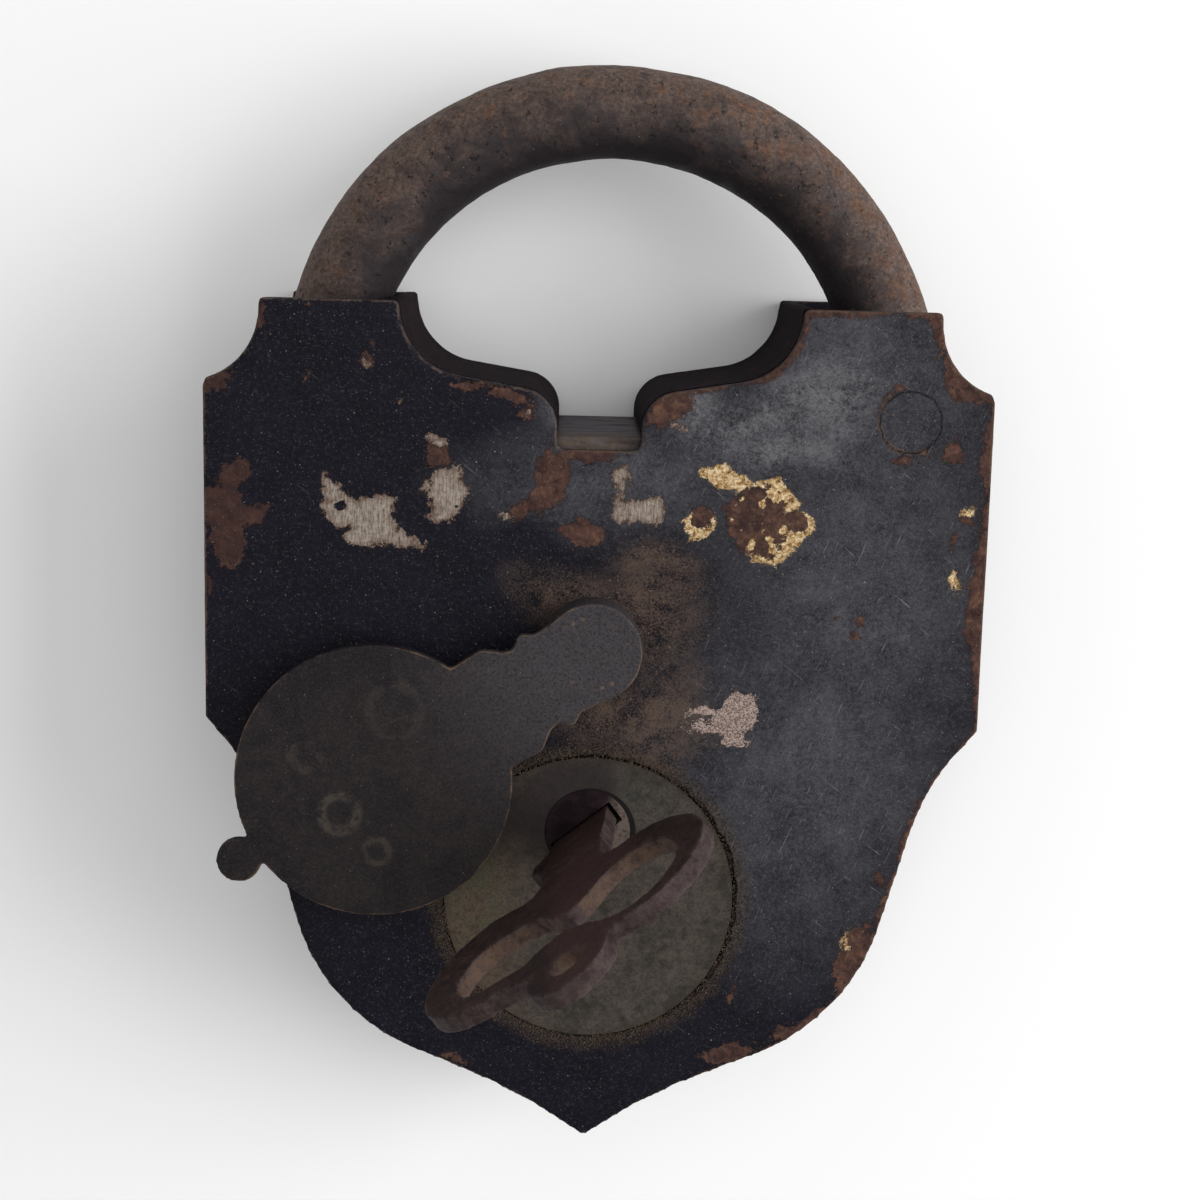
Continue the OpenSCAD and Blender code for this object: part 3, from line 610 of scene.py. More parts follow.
    def lining(self) -> Material:
        """Strips between the plates: near-black brown on the notch's walls as a painted shade, rubbed
        to grey metal on the notch's floor.

        Returns:
            The finished material.
        """
        s = Sheet("case_lining")
        x, y = s.axis(0), s.axis(1)
        cloud, fine = s.noise(0.35, 6.0, 0.65, 0.4), s.noise(1.6, 4.0, 0.7)
        # the notch's floor keeps the grey metal; the near-black elsewhere is a painted shade
        rubbed = abs(x).rise(*self.notch_sides) * y.rise(*self.notch_top)
        s.colour = s.tones(cloud, *self.lining_shade)
        streak = s.noise(1.0, 4.0, 0.6, 0.3, s.mapped(0, 0, 0, (6.0, 1.0, 1.4)))
        grey = s.tones(streak, *self.lining_grey)
        grey = s.mix(s.axis(2).rise(27, 35) * fine.rise(0.3, 0.6) * 0.7, grey, self.ochre)
        s.coat(rubbed, grey)
        s.coat(s.specks(1.1, 0.12, 0.2) * 0.4, self.lining_dust)
        rough = 0.8 - rubbed * 0.2 + fine * 0.1
        return s.finish(rough, rubbed * 0.3, cloud * 0.16 + fine * 0.06, 0.05)


@dataclass(frozen=True)
class ShackleIron:
    """Dark brown rust patina on the round bar, lighter on its outer side as a painted highlight and
    near-black on its inner side as a painted shade.
    """

    centre: tuple[float, float] = (1.6, 28.7)
    radius: float = 41.9
    bar: float = 7.0
    # painted shade on the bar's inner side
    dark: Colour = (0.017, 0.0125, 0.015)
    olive: Colour = (0.145, 0.098, 0.076)
    brown: Colour = (0.07, 0.045, 0.038)
    orange: Colour = (0.17, 0.078, 0.04)
    umber: Colour = (0.09, 0.044, 0.026)
    shade: Colour = (0.02, 0.015, 0.016)
    pit: Colour = (0.01, 0.008, 0.009)
    soot: Colour = (0.012, 0.009, 0.01)
    rubbed: Colour = (0.036, 0.033, 0.038)
    dust: Colour = (0.3, 0.24, 0.19)

    def dress(self) -> Material:
        """Builds the material.

        Returns:
            The finished material.
        """
        s = Sheet("shackle_patina")
        x = s.axis(0)
        cloud, blot = s.noise(0.16, 6.0, 0.62, 0.5), s.noise(0.45, 6.0, 0.7, 0.3)
        fine, grit = s.noise(1.7, 4.0, 0.7), s.noise(5.0, 2.0, 0.6)
        # painted light: the bar is lighter on its outer side and dark on its inner side
        out = (s.around(*self.centre) - self.radius) / self.bar
        lit_side = (out + (cloud - 0.5) * 2.6).rise(-0.75, 0.75)
        s.colour = s.mix(lit_side, self.dark, s.mix(fine.rise(0.35, 0.65), self.brown, self.olive))
        mottle = (blot - (1 - lit_side) * 0.12 + x.rise(-10, 30) * 0.07).rise(0.53, 0.66)
        s.coat(s.noise(0.28, 5.0, 0.7, 0.6).rise(0.5, 0.64) * 0.55, self.shade)
        s.coat(mottle * 0.75, s.mix(fine.rise(0.4, 0.7), self.umber, self.orange))
        pits = s.noise(0.8, 5.0, 0.7, 0.2).rise(0.6, 0.67)
        s.coat(pits * 0.85, self.pit)
        s.coat(grit.rise(0.5, 0.62) * 0.35, self.soot)
        grey = s.noise(0.1, 4.0, 0.6, 0.8).rise(0.54, 0.66) * out.rise(0.9, -0.2)
        s.coat(grey * 0.6, self.rubbed)
        s.coat(s.specks(1.0, 0.1, 0.22) * 0.8, self.dust)
        height = cloud * 0.3 + blot * 0.16 + fine * 0.07 + grit * 0.03 - pits * 0.12
        return s.finish(0.6 + blot * 0.2 - grey * 0.12, 0.0, height)


@dataclass(frozen=True)
class DropIron:
    """Dark oxidised sheet of the swinging drop, with a golden edge that is partly rubbed metal and
    partly a painted edge highlight, and faint ring marks.
    """

    pivot: tuple[float, float] = (-0.3, -3.9)
    dark: Colour = (0.0065, 0.0045, 0.007)
    brown: Colour = (0.0215, 0.016, 0.0155)
    slate: Colour = (0.056, 0.05, 0.056)
    gold: Colour = (0.19, 0.12, 0.065)
    pale: Colour = (0.048, 0.04, 0.038)
    soot: Colour = (0.006, 0.005, 0.006)
    ring_tan: Colour = (0.085, 0.068, 0.052)
    scratch: Colour = (0.09, 0.072, 0.055)
    dust: Colour = (0.16, 0.14, 0.13)
    rings: tuple[tuple[float, float, float, float, float], ...] = (
        (-35.1, -27.4, 2.5, 1.1, 1.0), (-29.8, -32.8, 1.8, 0.7, 0.6),
        (-39.8, -19.4, 1.9, 0.8, 0.4), (-27.4, -12.6, 3.6, 1.0, 0.3))

    def dress(self, wear: Wear) -> Material:
        """Builds the material.

        Args:
            wear: Whether the piece keeps the distance to its edges.

        Returns:
            The finished material.
        """
        s = Sheet("drop_iron_" + wear.value)
        cloud, blot = s.noise(0.12, 6.0, 0.62, 0.5), s.noise(0.5, 5.0, 0.65)
        fine = s.noise(1.8, 4.0, 0.7)
        near = s.around(*self.pivot)
        mottle = cloud * 0.4 + blot * 0.3 + fine * 0.3
        s.colour = s.mix(mottle.rise(0.38, 0.62), self.dark, self.brown)
        slate = near.rise(32, 4) * (0.05 + blot * 0.7 + fine * 1.0)
        s.coat(slate.least(1.0) * 0.9, self.slate)
        s.coat(s.noise(3.5, 3.0, 0.75).rise(0.5, 0.62) * 0.4, self.pale)
        s.coat(s.noise(2.6, 4.0, 0.8).rise(0.5, 0.58) * 0.6, self.soot)
        height = cloud * 0.12 + blot * 0.06 + fine * 0.04
        if wear is Wear.EDGES:
            soft = s.ragged(1.8, 0.5)
            marks: Wire | None = None
            for x, y, radius, width, weight in self.rings:
                one = s.ring(x, y, radius, width, soft) * weight
                marks = one if marks is None else marks.most(one)
            s.coat(marks * blot.rise(0.35, 0.6) * 0.5, self.ring_tan)
            scrawl = s.strokes(24, 2.0, 0.08, 0.7) + s.strokes(-50, 1.6, 0.1, 0.73)
            s.coat(scrawl.least(1.0) * 0.22, self.scratch)
            # golden edge: partly rubbed metal, partly a painted edge highlight
            worn = (0.05 + blot * 0.5 - s.mark("edge")).rise(-0.1, 0.12) * cloud.rise(0.38, 0.6)
            s.coat(worn * 0.55, self.gold)
            height = height - marks * 0.05
        s.coat(s.specks(0.9, 0.11, 0.3) * 0.5, self.dust)
        return s.finish(0.55 + blot * 0.18, 0.0, height, 0.18)


@dataclass(frozen=True)
class CylinderBrass:
    """Dull brass under dirt, with painted shade by the drop and on the plug: the cylinder's face and
    its plug.
    """

    face: tuple[float, float] = (0.0, -41.3)
    plug: tuple[float, float] = (-0.3, -31.3)
    dirty_rim: Edge = (19.2, 20.9)
    plug_seam: Edge = (6.35, 6.15)
    plug_shade: Edge = (6.55, 6.4)
    olive: Colour = (0.024, 0.022, 0.017)
    grey: Colour = (0.076, 0.06, 0.05)
    yellow: Colour = (0.1, 0.066, 0.04)
    green: Colour = (0.046, 0.06, 0.028)
    # painted shade: darker greenish grey near the disc's top, next to the drop
    top_shade: Colour = (0.036, 0.044, 0.034)
    turned: Colour = (0.085, 0.076, 0.064)
    # painted shadow of the drop on the brass
    drop_shadow_tone: Colour = (0.014, 0.009, 0.01)
    grime: Colour = (0.016, 0.011, 0.01)
    rim_dirt: Colour = (0.032, 0.022, 0.014)
    seam: Colour = (0.003, 0.002, 0.002)
    dust: Colour = (0.18, 0.16, 0.12)
    # painted shadow of the key and drop over the plug, and the lighter face where that shadow ends
    plug_shadow_tones: tuple[Colour, Colour] = ((0.006, 0.002, 0.004), (0.017, 0.008, 0.011))
    plug_lit_pale: Colour = (0.12, 0.09, 0.075)

    def body(self) -> Material:
        """Material of the cylinder's face, flange and barrel.

        Returns:
            The finished material.
        """
        s = Sheet("cylinder_face")
        x = s.axis(0)
        cloud, fine, grit = s.noise(0.18, 5.0, 0.6, 0.5), s.noise(1.4, 4.0, 0.7), s.noise(5.0, 2.0)
        mottle = cloud * 0.3 + s.noise(0.6, 5.0, 0.7) * 0.4 + fine * 0.3
        s.colour = s.mix(mottle.rise(0.38, 0.6), self.olive, self.grey)
        s.coat(x.rise(-4, -18) * fine.rise(0.25, 0.6) * 0.7, self.yellow)
        left = s.around(-16.5, -42, (5, 8)).rise(1.2, 0.3) * cloud.rise(0.35, 0.6)
        s.coat(left * 0.5, self.green)
        # painted shade near the top of the disc, next to the drop
        top = s.around(3, -25, (12, 5)).rise(1.2, 0.4) * fine.rise(0.4, 0.6)
        s.coat(top * 0.35, self.top_shade)
        lathe = s.noise(1.0, 2.0, 0.5, 0.0, s.mapped(0, 0, 35, (14.0, 0.5, 1.0)))
        s.coat(lathe.rise(0.58, 0.7) * 0.18, self.turned)
        # painted shadow cast by the drop onto the face near the plug
        drop_shadow = s.around(-5, -27, (13, 7), 30, s.ragged(5.0, 0.25)).rise(1.1, 0.5)
        s.coat(drop_shadow * 0.75, self.drop_shadow_tone)
        s.coat(s.noise(3.0, 3.0, 0.75).rise(0.48, 0.62) * 0.5, self.grime)
        rim = s.around(*self.face, at=s.ragged(1.2, 0.8)).rise(*self.dirty_rim)
        s.coat(rim * grit.rise(0.35, 0.6) * 0.7, self.rim_dirt)
        hole = s.around(*self.plug)
        gap = s.around(self.plug[0] + 0.4, self.plug[1] - 0.1)
        dark = hole.rise(*self.plug_seam).most(gap.rise(*self.plug_shade))
        s.coat(dark, self.seam)
        s.coat(s.specks(0.9, 0.09, 0.18) * 0.6, self.dust)
        height = cloud * 0.08 + fine * 0.03 + grit * 0.015 + rim * grit * 0.1
        return s.finish(0.55 + fine * 0.2 + dark * 0.2, 0.2 * (1 - dark), height)

    def core(self) -> Material:
        """Material of the plug: dark as a painted shadow of the key and drop, paler towards its right
        where that shadow ends.

        Returns:
            The finished material.
        """
        s = Sheet("plug_face")
        cloud, fine = s.noise(0.4, 5.0, 0.6), s.noise(1.8, 4.0, 0.7)
        # paler where the painted shadow ends
        pale = (s.axis(0) - s.axis(1) * 0.3).rise(9.6, 13.0)
        s.colour = s.mix(cloud.rise(0.35, 0.65), *self.plug_shadow_tones)
        s.coat(pale * fine.rise(0.25, 0.55), self.plug_lit_pale)
        return s.finish(0.55 + fine * 0.2, 0.1, cloud * 0.08 + fine * 0.04, 0.12)


@dataclass(frozen=True)
class KeyRust:
    """Evenly rusted flat steel, paler on its thickness and the walls of its bow's openings as painted
    light, and paler where hands and the ring rub its edges.
    """

    face: Colour = (0.019, 0.0095, 0.0095)
    warm: Colour = (0.044, 0.024, 0.02)
    # pale tone: painted light on the key's thickness, and rub wear at its edges
    edge: Colour = (0.064, 0.045, 0.045)
    # painted light on the walls of the bow's openings
    lit_eye_wall: Colour = (0.1, 0.06, 0.04)
    stem_red: Colour = (0.062, 0.03, 0.028)
    orange: Colour = (0.09, 0.048, 0.032)
    shade: Colour = (0.016, 0.009, 0.009)
    pit: Colour = (0.012, 0.006, 0.006)

    def dress(self) -> Material:
        """Builds the material.

        Returns:
            The finished material.
        """
        s = Sheet("key_rust")
        cloud, blot, fine = s.noise(0.2, 5.0, 0.6, 0.4), s.noise(0.7, 5.0, 0.7), s.noise(2.2, 4.0, 0.7)
        s.colour = s.mix((cloud * 0.5 + blot * 0.5).rise(0.38, 0.64), self.face, self.warm)
        wall, eye, edge = s.mark("wall"), s.mark("eye"), s.mark("edge")
        patchy = (cloud * 0.4 + blot * 0.4 + fine * 0.2).rise(0.38, 0.6)
        # painted light: the key's thickness and the walls of its openings are paler, as if lit
        s.coat(wall * patchy * 0.9, self.edge)
        s.coat(eye * wall * patchy, self.lit_eye_wall)
        stem = s.around(0, -31, (9, 4), 55).rise(1.2, 0.5)
        s.coat(stem * (1 - wall) * 0.6, self.stem_red)
        tip = s.around(-17, -47, (7, 5)).rise(1.2, 0.4)
        tip = tip.most(s.around(2, -40, (3, 6), 30).rise(1.2, 0.5))
        s.coat(tip * blot.rise(0.46, 0.64) * 0.3, self.orange)
        s.coat(s.around(-21, -52, (8, 7)).rise(1.2, 0.5) * 0.45, self.shade)
        worn = (0.45 + fine * 0.4 - edge).rise(-0.2, 0.4) * blot.rise(0.4, 0.6)
        s.coat(worn * 0.6, self.edge)
        s.coat(fine.rise(0.5, 0.62) * 0.4, self.pit)
        height = cloud * 0.14 + blot * 0.22 + fine * 0.1
        return s.finish(0.66 + fine * 0.2, 0.0, height, 0.2)


@dataclass(frozen=True)
class PlainSteel:
    """Dull inner steel with light tarnish."""

    tone: Colour = (0.095, 0.08, 0.07)
    stain: Colour = (0.04, 0.026, 0.02)

    def dress(self) -> Material:
        """Builds the material.

        Returns:
            The finished material.
        """
        s = Sheet("inner_steel_dull")
        cloud, fine = s.noise(0.3, 5.0, 0.65), s.noise(2.0, 3.0)
        s.colour = s.mix(cloud.rise(0.45, 0.7), self.tone, self.stain)
        return s.finish(0.45 + fine * 0.2, 0.8, fine * 0.03)


# --- skins


@dataclass
class Skin:
    """A CAD node's shape again, with edges rounded by wear and its surface pitted.

    Each pair in pits holds the pits' fineness per mm and their depth in mm; fineness 0
    takes half the depth off evenly. Edges inside a passed spot leave no wear mark. A lid
    closes a hole by a thin skin at the node's top, and the ceiling cuts the skin at a
    height in mm.
    """

    node: str
    body: str
    slot: str
    voxel: float
    rounding: int = 4
    pits: tuple[tuple[float, float], ...] = ((0.05, 0.1), (0.4, 0.03))
    sharp: float = 35.0
    passed: Spots = ()
    lids: Spots = ()
    ceiling: float = FAR

    def _merged(self) -> bmesh.types.BMesh:
        """The CAD node's mesh with its loose triangles joined.

        Returns:
            The mesh with its lids, to be freed by the caller.
        """
        made = bmesh.new()
        made.from_mesh(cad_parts[self.node].data)
        bmesh.ops.remove_doubles(made, verts=made.verts, dist=SAME_PLACE)
        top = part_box(self.node)[1][2]
        for lid in self.lids:
            place = Matrix.Translation((lid.x * MM, lid.y * MM, top - LID_DEPTH / 2))
            bmesh.ops.create_cone(made, cap_ends=True, segments=LID_SIDES, radius1=lid.rx * MM,
                                  radius2=lid.rx * MM, depth=LID_DEPTH, matrix=place)
        return made

    def _trace(self, made: bmesh.types.BMesh) -> KDTree:
        """Points along the outward sharp edges, in mm, as a search tree.

        Args:
            made: The node's mesh.

        Returns:
            The tree, with one far point at least.
        """
        points: list[Vector] = [Vector((FAR, FAR, FAR))]
        sharp = math.radians(self.sharp)
        for e in made.edges:
            if len(e.link_faces) == 2 and e.is_convex and e.calc_face_angle(0.0) > sharp:
                a, b = e.verts[0].co, e.verts[1].co
                count = max(1, math.ceil((b - a).length / TRACE_STEP))
                points += [a.lerp(b, k / count) / MM for k in range(count + 1)]
        places = np.array(points)
        kept = np.ones(len(points), dtype=bool)
        for spot in self.passed:
            kept &= spot.reach(places) > 1.0
        tree = KDTree(int(kept.sum()))
        for k, p in enumerate(places[kept]):
            tree.insert(p, k)
        tree.balance()
        return tree

    def _remeshed(self, made: bmesh.types.BMesh) -> bpy.types.Mesh:
        """An even mesh over the same shape, with soft edges.

        Args:
            made: The node's mesh.

        Returns:
            The new mesh, in metres.
        """
        data = bpy.data.meshes.new(self.node + "_raw")
        made.to_mesh(data)
        obj = placed(self.node + "_raw", data)
        remesh = obj.modifiers.new("remesh", "REMESH")
        remesh.mode, remesh.voxel_size, remesh.adaptivity = "VOXEL", self.voxel * MM, 0.0
        smooth = obj.modifiers.new("smooth", "SMOOTH")
        smooth.factor, smooth.iterations = 0.5, self.rounding
        graph = bpy.context.evaluated_depsgraph_get()
        mesh = bpy.data.meshes.new_from_object(obj.evaluated_get(graph))
        bpy.data.objects.remove(obj)
        bpy.data.meshes.remove(data)
        return mesh

    def make(self, dress: Material, marks: Marks | None = None) -> bpy.types.Object:
        """Builds the skin, which then stands for its CAD node.

        Args:
            dress: Material of the skin.
            marks: Name to a rule on places in mm and normals, stored on the vertices.

        Returns:
            The finished piece.
        """
        made = self._merged()
        tree = self._trace(made)
        mesh = self._remeshed(made)
        made.free()
        low, high = (np.array(corner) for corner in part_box(self.node))
        high[2] = min(high[2], self.ceiling * MM)
        count = len(mesh.vertices)
        at, normals = np.empty(count * 3), np.empty(count * 3)
        mesh.vertices.foreach_get("co", at)
        mesh.vertex_normals.foreach_get("vector", normals)
        at, normals = at.reshape(-1, 3) / MM, normals.reshape(-1, 3)
        stored = {"edge": np.array([tree.find(p)[2] for p in at])}
        stored |= {name: rule(at, normals) for name, rule in (marks or {}).items()}
        for name, values in stored.items():
            mesh.attributes.new(name, "FLOAT", "POINT").data.foreach_set("value", values)
        rise = [sum(depth * (noise.noise(Vector(p) * fineness) - 0.5) for fineness, depth in self.pits)
                for p in at]
        moved = np.clip((at + normals * np.array(rise)[:, None]) * MM, low, high)
        mesh.vertices.foreach_set("co", moved.ravel())
        mesh.polygons.foreach_set("use_smooth", [True] * len(mesh.polygons))
        mesh.materials.clear()
        mesh.materials.append(dress)
        piece = placed(self.node + "_skin", mesh)
        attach(piece, self.body)
        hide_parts(self.node)
        LOG.info("%s: %d faces", piece.name, len(mesh.polygons))
        return piece


@dataclass
class Crust:
    """Grains of rust and dirt caked round the brass disc."""

    name: str = "disc_crust"
    centre: Place = (0.0, -41.3, 38.0)
    inner: float = 20.9
    outer: float = 23.4
    grains: int = 2600
    size: float = 0.13
    seed: int = 7
    dirt: tuple[Stop, ...] = (
        (0.35, (0.018, 0.012, 0.009)), (0.5, (0.055, 0.038, 0.024)), (0.7, (0.12, 0.085, 0.05)))

    def _sizes(self) -> dict[str, tuple[str, Any]]:
        """Socket kind and value of each named input of the tree."""
        return {"Inner radius": ("Float", self.inner * MM), "Outer radius": ("Float", self.outer * MM),
                "Grains": ("Int", self.grains), "Grain size": ("Float", self.size * MM),
                "Seed": ("Int", self.seed), "Centre": ("Vector", [c * MM for c in self.centre])}

    def _tree(self, dress: Material) -> bpy.types.NodeTree:
        """Geometry nodes that scatter the grains over a ring.

        Args:
            dress: Material of the grains.

        Returns:
            The tree, with its sizes as named inputs.
        """
        tree = bpy.data.node_groups.new(self.name, "GeometryNodeTree")
        for label, (kind, _) in self._sizes().items():
            tree.interface.new_socket(label, in_out="INPUT", socket_type="NodeSocket" + kind)
        tree.interface.new_socket("Grains out", in_out="OUTPUT", socket_type="NodeSocketGeometry")
        g = Graph(tree)
        entry = g.node("NodeGroupInput")
        given = {label: Wire(g, entry.socket.node.outputs[label]) for label in self._sizes()}

        def chance(low: Any, high: Any, shift: int, kind: str = "FLOAT") -> Wire:
            """A random number or vector for each grain."""
            ends = {0: low, 1: high} if kind == "FLOAT_VECTOR" else {2: low, 3: high}
            return g.node("FunctionNodeRandomValue", {"data_type": kind},
                          {**ends, "Seed": given["Seed"] + shift}, 0 if kind == "FLOAT_VECTOR" else 1)

        angle = chance(0.0, math.tau, 1)
        share = chance(0.0, 1.0, 2)
        radius = given["Inner radius"] + (given["Outer radius"] - given["Inner radius"]) * share * share
        across = radius * g.node("ShaderNodeMath", {"operation": "COSINE"}, {0: angle})
        up = radius * g.node("ShaderNodeMath", {"operation": "SINE"}, {0: angle})
        place = g.node("ShaderNodeCombineXYZ", None, {0: across, 1: up, 2: 0.0})
        place = g.node("ShaderNodeVectorMath", {"operation": "ADD"}, {0: place, 1: given["Centre"]})
        cloud = g.node("GeometryNodePoints", None, {"Count": given["Grains"], "Position": place})
        grain = g.node("GeometryNodeMeshIcoSphere", None,
                       {"Radius": given["Grain size"], "Subdivisions": 1})
        spread = g.node("GeometryNodeInstanceOnPoints", None, {
            "Points": cloud, "Instance": grain,
            "Rotation": chance((0.0, 0.0, 0.0), (6.0, 6.0, 6.0), 3, "FLOAT_VECTOR"),
            "Scale": chance((0.4, 0.4, 0.3), (1.5, 1.1, 1.0), 4, "FLOAT_VECTOR")})
        real = g.node("GeometryNodeRealizeInstances", None, {0: spread})
        dressed = g.node("GeometryNodeSetMaterial", None, {"Geometry": real, "Material": dress})
        g.node("NodeGroupOutput", None, {0: dressed})
        return tree

    def make(self, body: str, dress: Material) -> bpy.types.Object:
        """Builds the grains as a plain mesh that rides on a body.

        Args:
            body: Body that the grains ride on.
            dress: Material of the grains.

        Returns:
            The finished piece.
        """
        tree = self._tree(dress)
        piece = placed(self.name, bpy.data.meshes.new(self.name))
        modifier = piece.modifiers.new("scatter", "NODES")
        modifier.node_group = tree
        sizes = self._sizes()
        for item in tree.interface.items_tree:
            if item.in_out == "INPUT":
                modifier[item.identifier] = sizes[item.name][1]
        graph = bpy.context.evaluated_depsgraph_get()
        mesh = bpy.data.meshes.new_from_object(piece.evaluated_get(graph))
        piece.modifiers.clear()
        piece.data = mesh
        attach(piece, body)
        LOG.info("%s: %d faces", piece.name, len(mesh.polygons))
        return piece

    def dress(self) -> Material:
        """Material of the grains."""
        s = Sheet(self.name + "_grit")
        s.colour = s.tones(s.noise(1.2, 4.0, 0.7), *self.dirt)
        return s.finish(0.85, 0.0, s.noise(6.0, 2.0) * 0.05)


# --- sub-assemblies


def dress(nodes: Iterable[str], material: Material) -> None:
    """Gives CAD nodes a material in all their slots.

    Args:
        nodes: Names of the nodes.
        material: The finish they take.
    """
    for name in nodes:
        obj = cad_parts[name]
        if not obj.material_slots:
            obj.data.materials.append(material)
        for slot in obj.material_slots:
            slot.material = material
        LOG.info("%s: %s", name, material.name)


@dataclass
class Case:
    """Plates, edge strips, shackle pin and the fixed inner pieces."""

    paint: CasePaint = CasePaint()
    plate_voxel: float = 0.5
    back_voxel: float = 0.62
    pin_hole: Spot = Spot(43.5, 28.7, 4.6, 4.6)
    holes: Spots = (pin_hole, Spot(0, -41.3, 22, 22), Spot(-0.3, -3.9, 8, 8))
    inner: tuple[str, ...] = (
        "case_posts", "heel_spacers", "toe_guides", "cylinder_screws", "driver_pins", "chamber_springs",
        "bolt_posts", "spring_stud", "leaf_spring")

    def build(self) -> None:
        """Makes the skins of the plates and the pin, and dresses the rest."""
        front, marks = self.paint.front(), self.paint.marks()
        Skin("front_plate", "case", "case_iron", self.plate_voxel, 3, passed=self.holes,
             lids=(self.pin_hole,)).make(front, marks)
        Skin("shackle_pin", "case", "inner_steel", self.plate_voxel, 3, ((0.0, 0.36), (0.4, 0.03)),
             ceiling=36.9).make(front, marks)
        back = self.paint.plain("case_back_paint", 0.35, Wear.EDGES)
        Skin("back_plate", "case", "case_iron", self.back_voxel, 3).make(back)
        side = self.paint.plain("case_side_paint", 0.3, Wear.FLAT)
        dress(["rim_left", "rim_right"], side)
        dress(["saddle_strip"], self.paint.lining())
        dress(self.inner, PlainSteel().dress())


@dataclass
class LockCylinder:
    """Brass cylinder, plug and the crust round its face."""

    brass: CylinderBrass = CylinderBrass()
    crust: Crust = field(default_factory=Crust)

    def build(self) -> None:
        """Dresses the brass and lays the crust."""
        dress(["cylinder_body", "chamber_cover"], self.brass.body())
        dress(["plug", "key_pins"], self.brass.core())
        self.crust.make("case", self.crust.dress())


@dataclass
class Shackle:
    """Round bar with its forged, pitted surface."""

    finish: ShackleIron = ShackleIron()
    voxel: float = 0.55

    def build(self) -> None:
        """Makes the bar's skin."""
        pits = ((0.045, 0.45), (0.15, 0.16), (0.6, 0.06))
        Skin("shackle", "shackle", "shackle_iron", self.voxel, 3, pits).make(self.finish.dress())


@dataclass
class Drop:
    """Swinging keyhole drop on its boss."""

    finish: DropIron = DropIron()
    voxel: float = 0.3

    def build(self) -> None:
        """Makes the drop's skin and dresses its boss and rivet."""
        pivot = Spot(-0.3, -3.9, 5, 5)
        iron = self.finish.dress(Wear.EDGES)
        Skin("drop_cover", "drop", "drop_iron", self.voxel, 3, ((0.08, 0.1), (0.6, 0.03)),
             passed=(pivot,), lids=(pivot,)).make(iron)
        Skin("drop_rivet", "case", "drop_iron", self.voxel, 2, ceiling=43.9).make(iron)
        dress(["drop_boss"], self.finish.dress(Wear.FLAT))


@dataclass
class Key:
    """Flat key in the plug, with the bolt work behind it."""

    finish: KeyRust = KeyRust()
    voxel: float = 0.26
    across: Place = (-0.6123, 0.7837, 0.1045)
    eyes: tuple[tuple[float, float, float, float], ...] = (
        (5.4, -29.3, 69.7, 8.6), (-8.9, -40.1, 66.8, 6.9), (-12.1, -42.5, 66.1, 6.9),
        (-2.5, -36.8, 80.0, 3.2))

    def _wall(self, _: Array, normals: Array) -> Array:
        """1 on the key's thickness, 0 on its two faces."""
        return 1.0 - np.clip((np.abs(normals @ np.array(self.across)) - 0.35) / 0.4, 0.0, 1.0)

    def _eye(self, at: Array, _: Array) -> Array:
        """1 on the walls of the bow's openings."""
        near = [np.linalg.norm(at - eye[:3], axis=1) < eye[3] for eye in self.eyes]
        return np.max(near, axis=0).astype(float)

    def build(self) -> None:
        """Makes the key's skin and dresses what turns or slides with it."""
        marks = {"wall": self._wall, "eye": self._eye}
        pits = ((0.12, 0.14), (0.5, 0.08), (1.4, 0.03))
        Skin("key", "key_barrel", "key_steel", self.voxel, 9, pits).make(self.finish.dress(), marks)
        dress(["cam", "cam_screw", "bolt"], PlainSteel().dress())


# --- studio


@dataclass(frozen=True)
class Softbox:
    """A square area light that faces the part, with its lengths in metres."""

    name: str
    place: Place
    size: float
    power: float
    tint: Colour = (1.0, 1.0, 1.0)
    aim: Place = (0.0, 0.0, 0.02)

    def hang(self) -> None:
        """Adds the light."""
        data = bpy.data.lights.new(self.name, "AREA")
        data.energy, data.size, data.color = self.power, self.size, self.tint
        obj = placed(self.name, data)
        obj.location = self.place
        obj.rotation_euler = (Vector(self.aim) - Vector(self.place)).to_track_quat("-Z", "Y").to_euler()


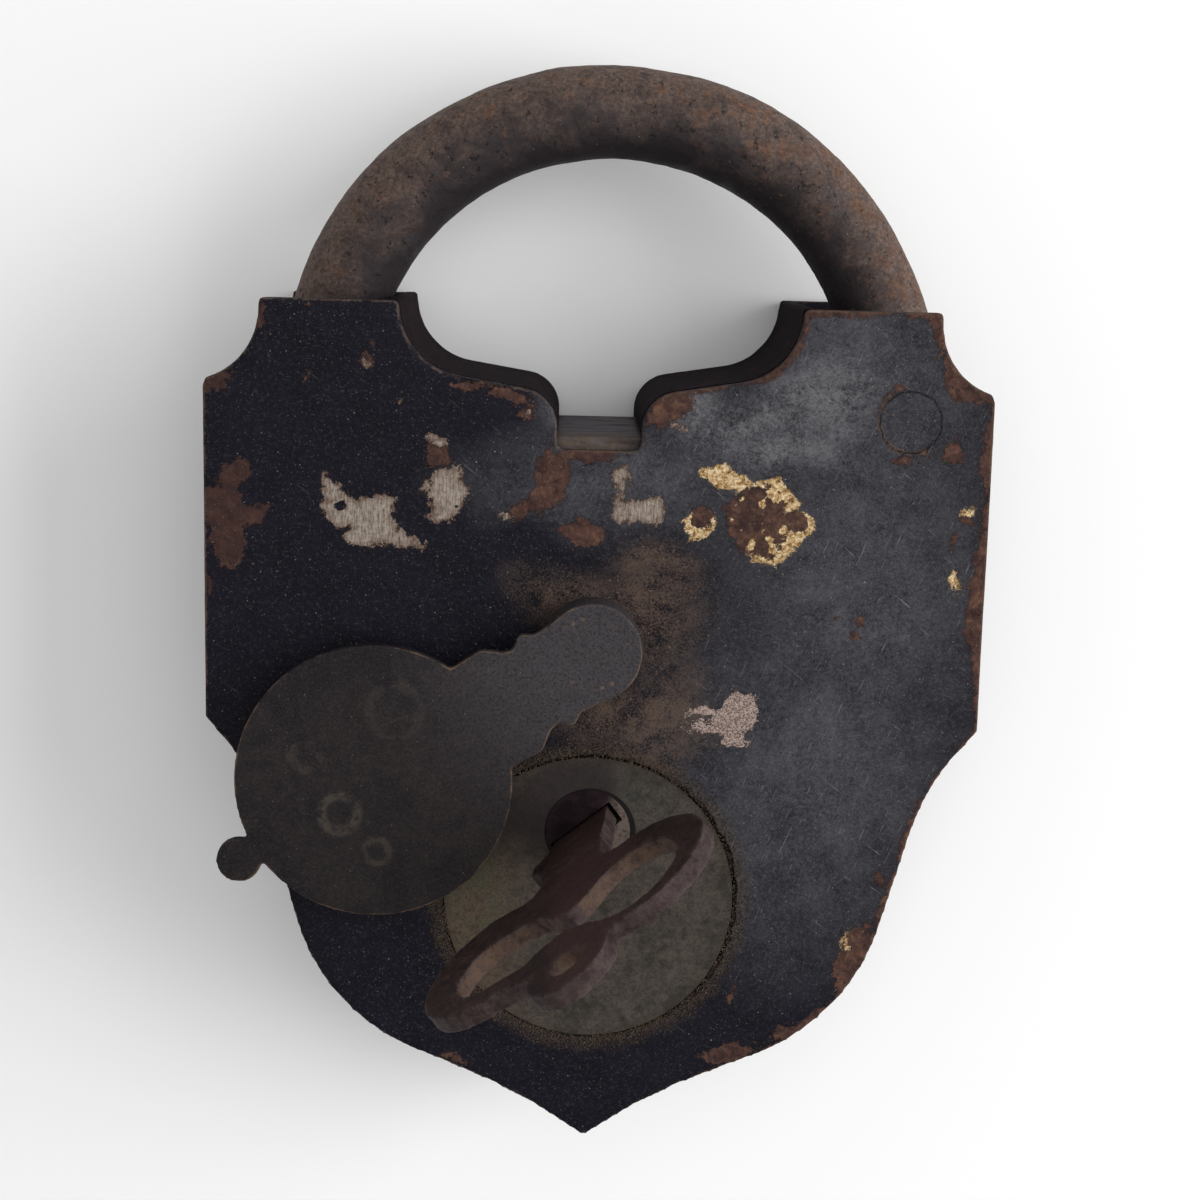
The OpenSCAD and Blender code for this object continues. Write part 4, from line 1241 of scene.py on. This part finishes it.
@dataclass
class Studio:
    """Pale floor, soft light and the camera over the front of the case.

    The camera's place is in mm, its tilt in radians and the floor's side in metres.
    """

    floor_side: float = 6.0
    floor_tone: Colour = (0.97, 0.97, 0.97)
    floor_mottle: float = 0.985
    ambient: float = 0.42
    lens: float = 63.3
    place: Place = (-4.308, 53.818, 330.76)
    tilt: Place = (0.174, -0.0128, 0.0236)
    lights: tuple[Softbox, ...] = (
        Softbox("right_softbox", (1.38, 0.2, 0.84), 1.25, 24.5),
        Softbox("top_softbox", (0.15, 0.3, 1.5), 1.2, 6.0))

    def floor(self) -> None:
        """Adds the floor just under the back plate."""
        half = self.floor_side / 2
        mesh = bpy.data.meshes.new("floor")
        corners = [(-half, -half), (half, -half), (half, half), (-half, half)]
        mesh.from_pydata([(a, b, -FLOOR_DROP) for a, b in corners], [], [(0, 1, 2, 3)])
        s = Sheet("floor_paper")
        shade = s.noise(0.004, 2.0).rise(0.2, 0.8)
        soft = tuple(c * self.floor_mottle for c in self.floor_tone)
        s.colour = s.mix(shade, soft, self.floor_tone)
        mesh.materials.append(s.finish(0.9, 0.0, shade * 0.01))
        placed("floor", mesh)

    def sky(self) -> None:
        """Sets an even, pale surrounding."""
        world = bpy.data.worlds.new("studio_air")
        world.use_nodes = True
        back = world.node_tree.nodes["Background"]
        back.inputs["Color"].default_value = (1.0, 1.0, 1.0, 1.0)
        back.inputs["Strength"].default_value = self.ambient
        bpy.context.scene.world = world

    def camera(self) -> None:
        """Adds the camera and makes it the scene's."""
        ax, ay, roll = self.tilt
        turn = (Matrix.Rotation(ax, 3, "X") @ Matrix.Rotation(ay, 3, "Y")
                @ Matrix.Rotation(roll, 3, "Z") @ Matrix.Diagonal((1.0, -1.0, -1.0)))
        data = bpy.data.cameras.new("camera")
        data.lens, data.sensor_width, data.clip_start = self.lens, SENSOR, NEAR_CLIP
        obj = placed("camera", data)
        axes = Matrix((turn[0], -turn[1], -turn[2])).transposed()
        obj.matrix_world = Matrix.Translation(Vector(self.place) * MM) @ axes.to_4x4()
        bpy.context.scene.camera = obj

    def build(self) -> None:
        """Sets the whole studio."""
        self.floor()
        self.sky()
        for light in self.lights:
            light.hang()
        self.camera()
        bpy.context.scene.view_settings.view_transform = "Standard"


def main() -> None:
    """Builds the studio and each sub-assembly."""
    logging.basicConfig(level=logging.INFO, format="%(name)s %(message)s")
    noise.seed_set(NOISE_SEED)
    for part in (Studio(), Case(), LockCylinder(), Shackle(), Drop(), Key()):
        LOG.info("building %s", type(part).__name__)
        part.build()


if __name__ == "__main__":
    main()
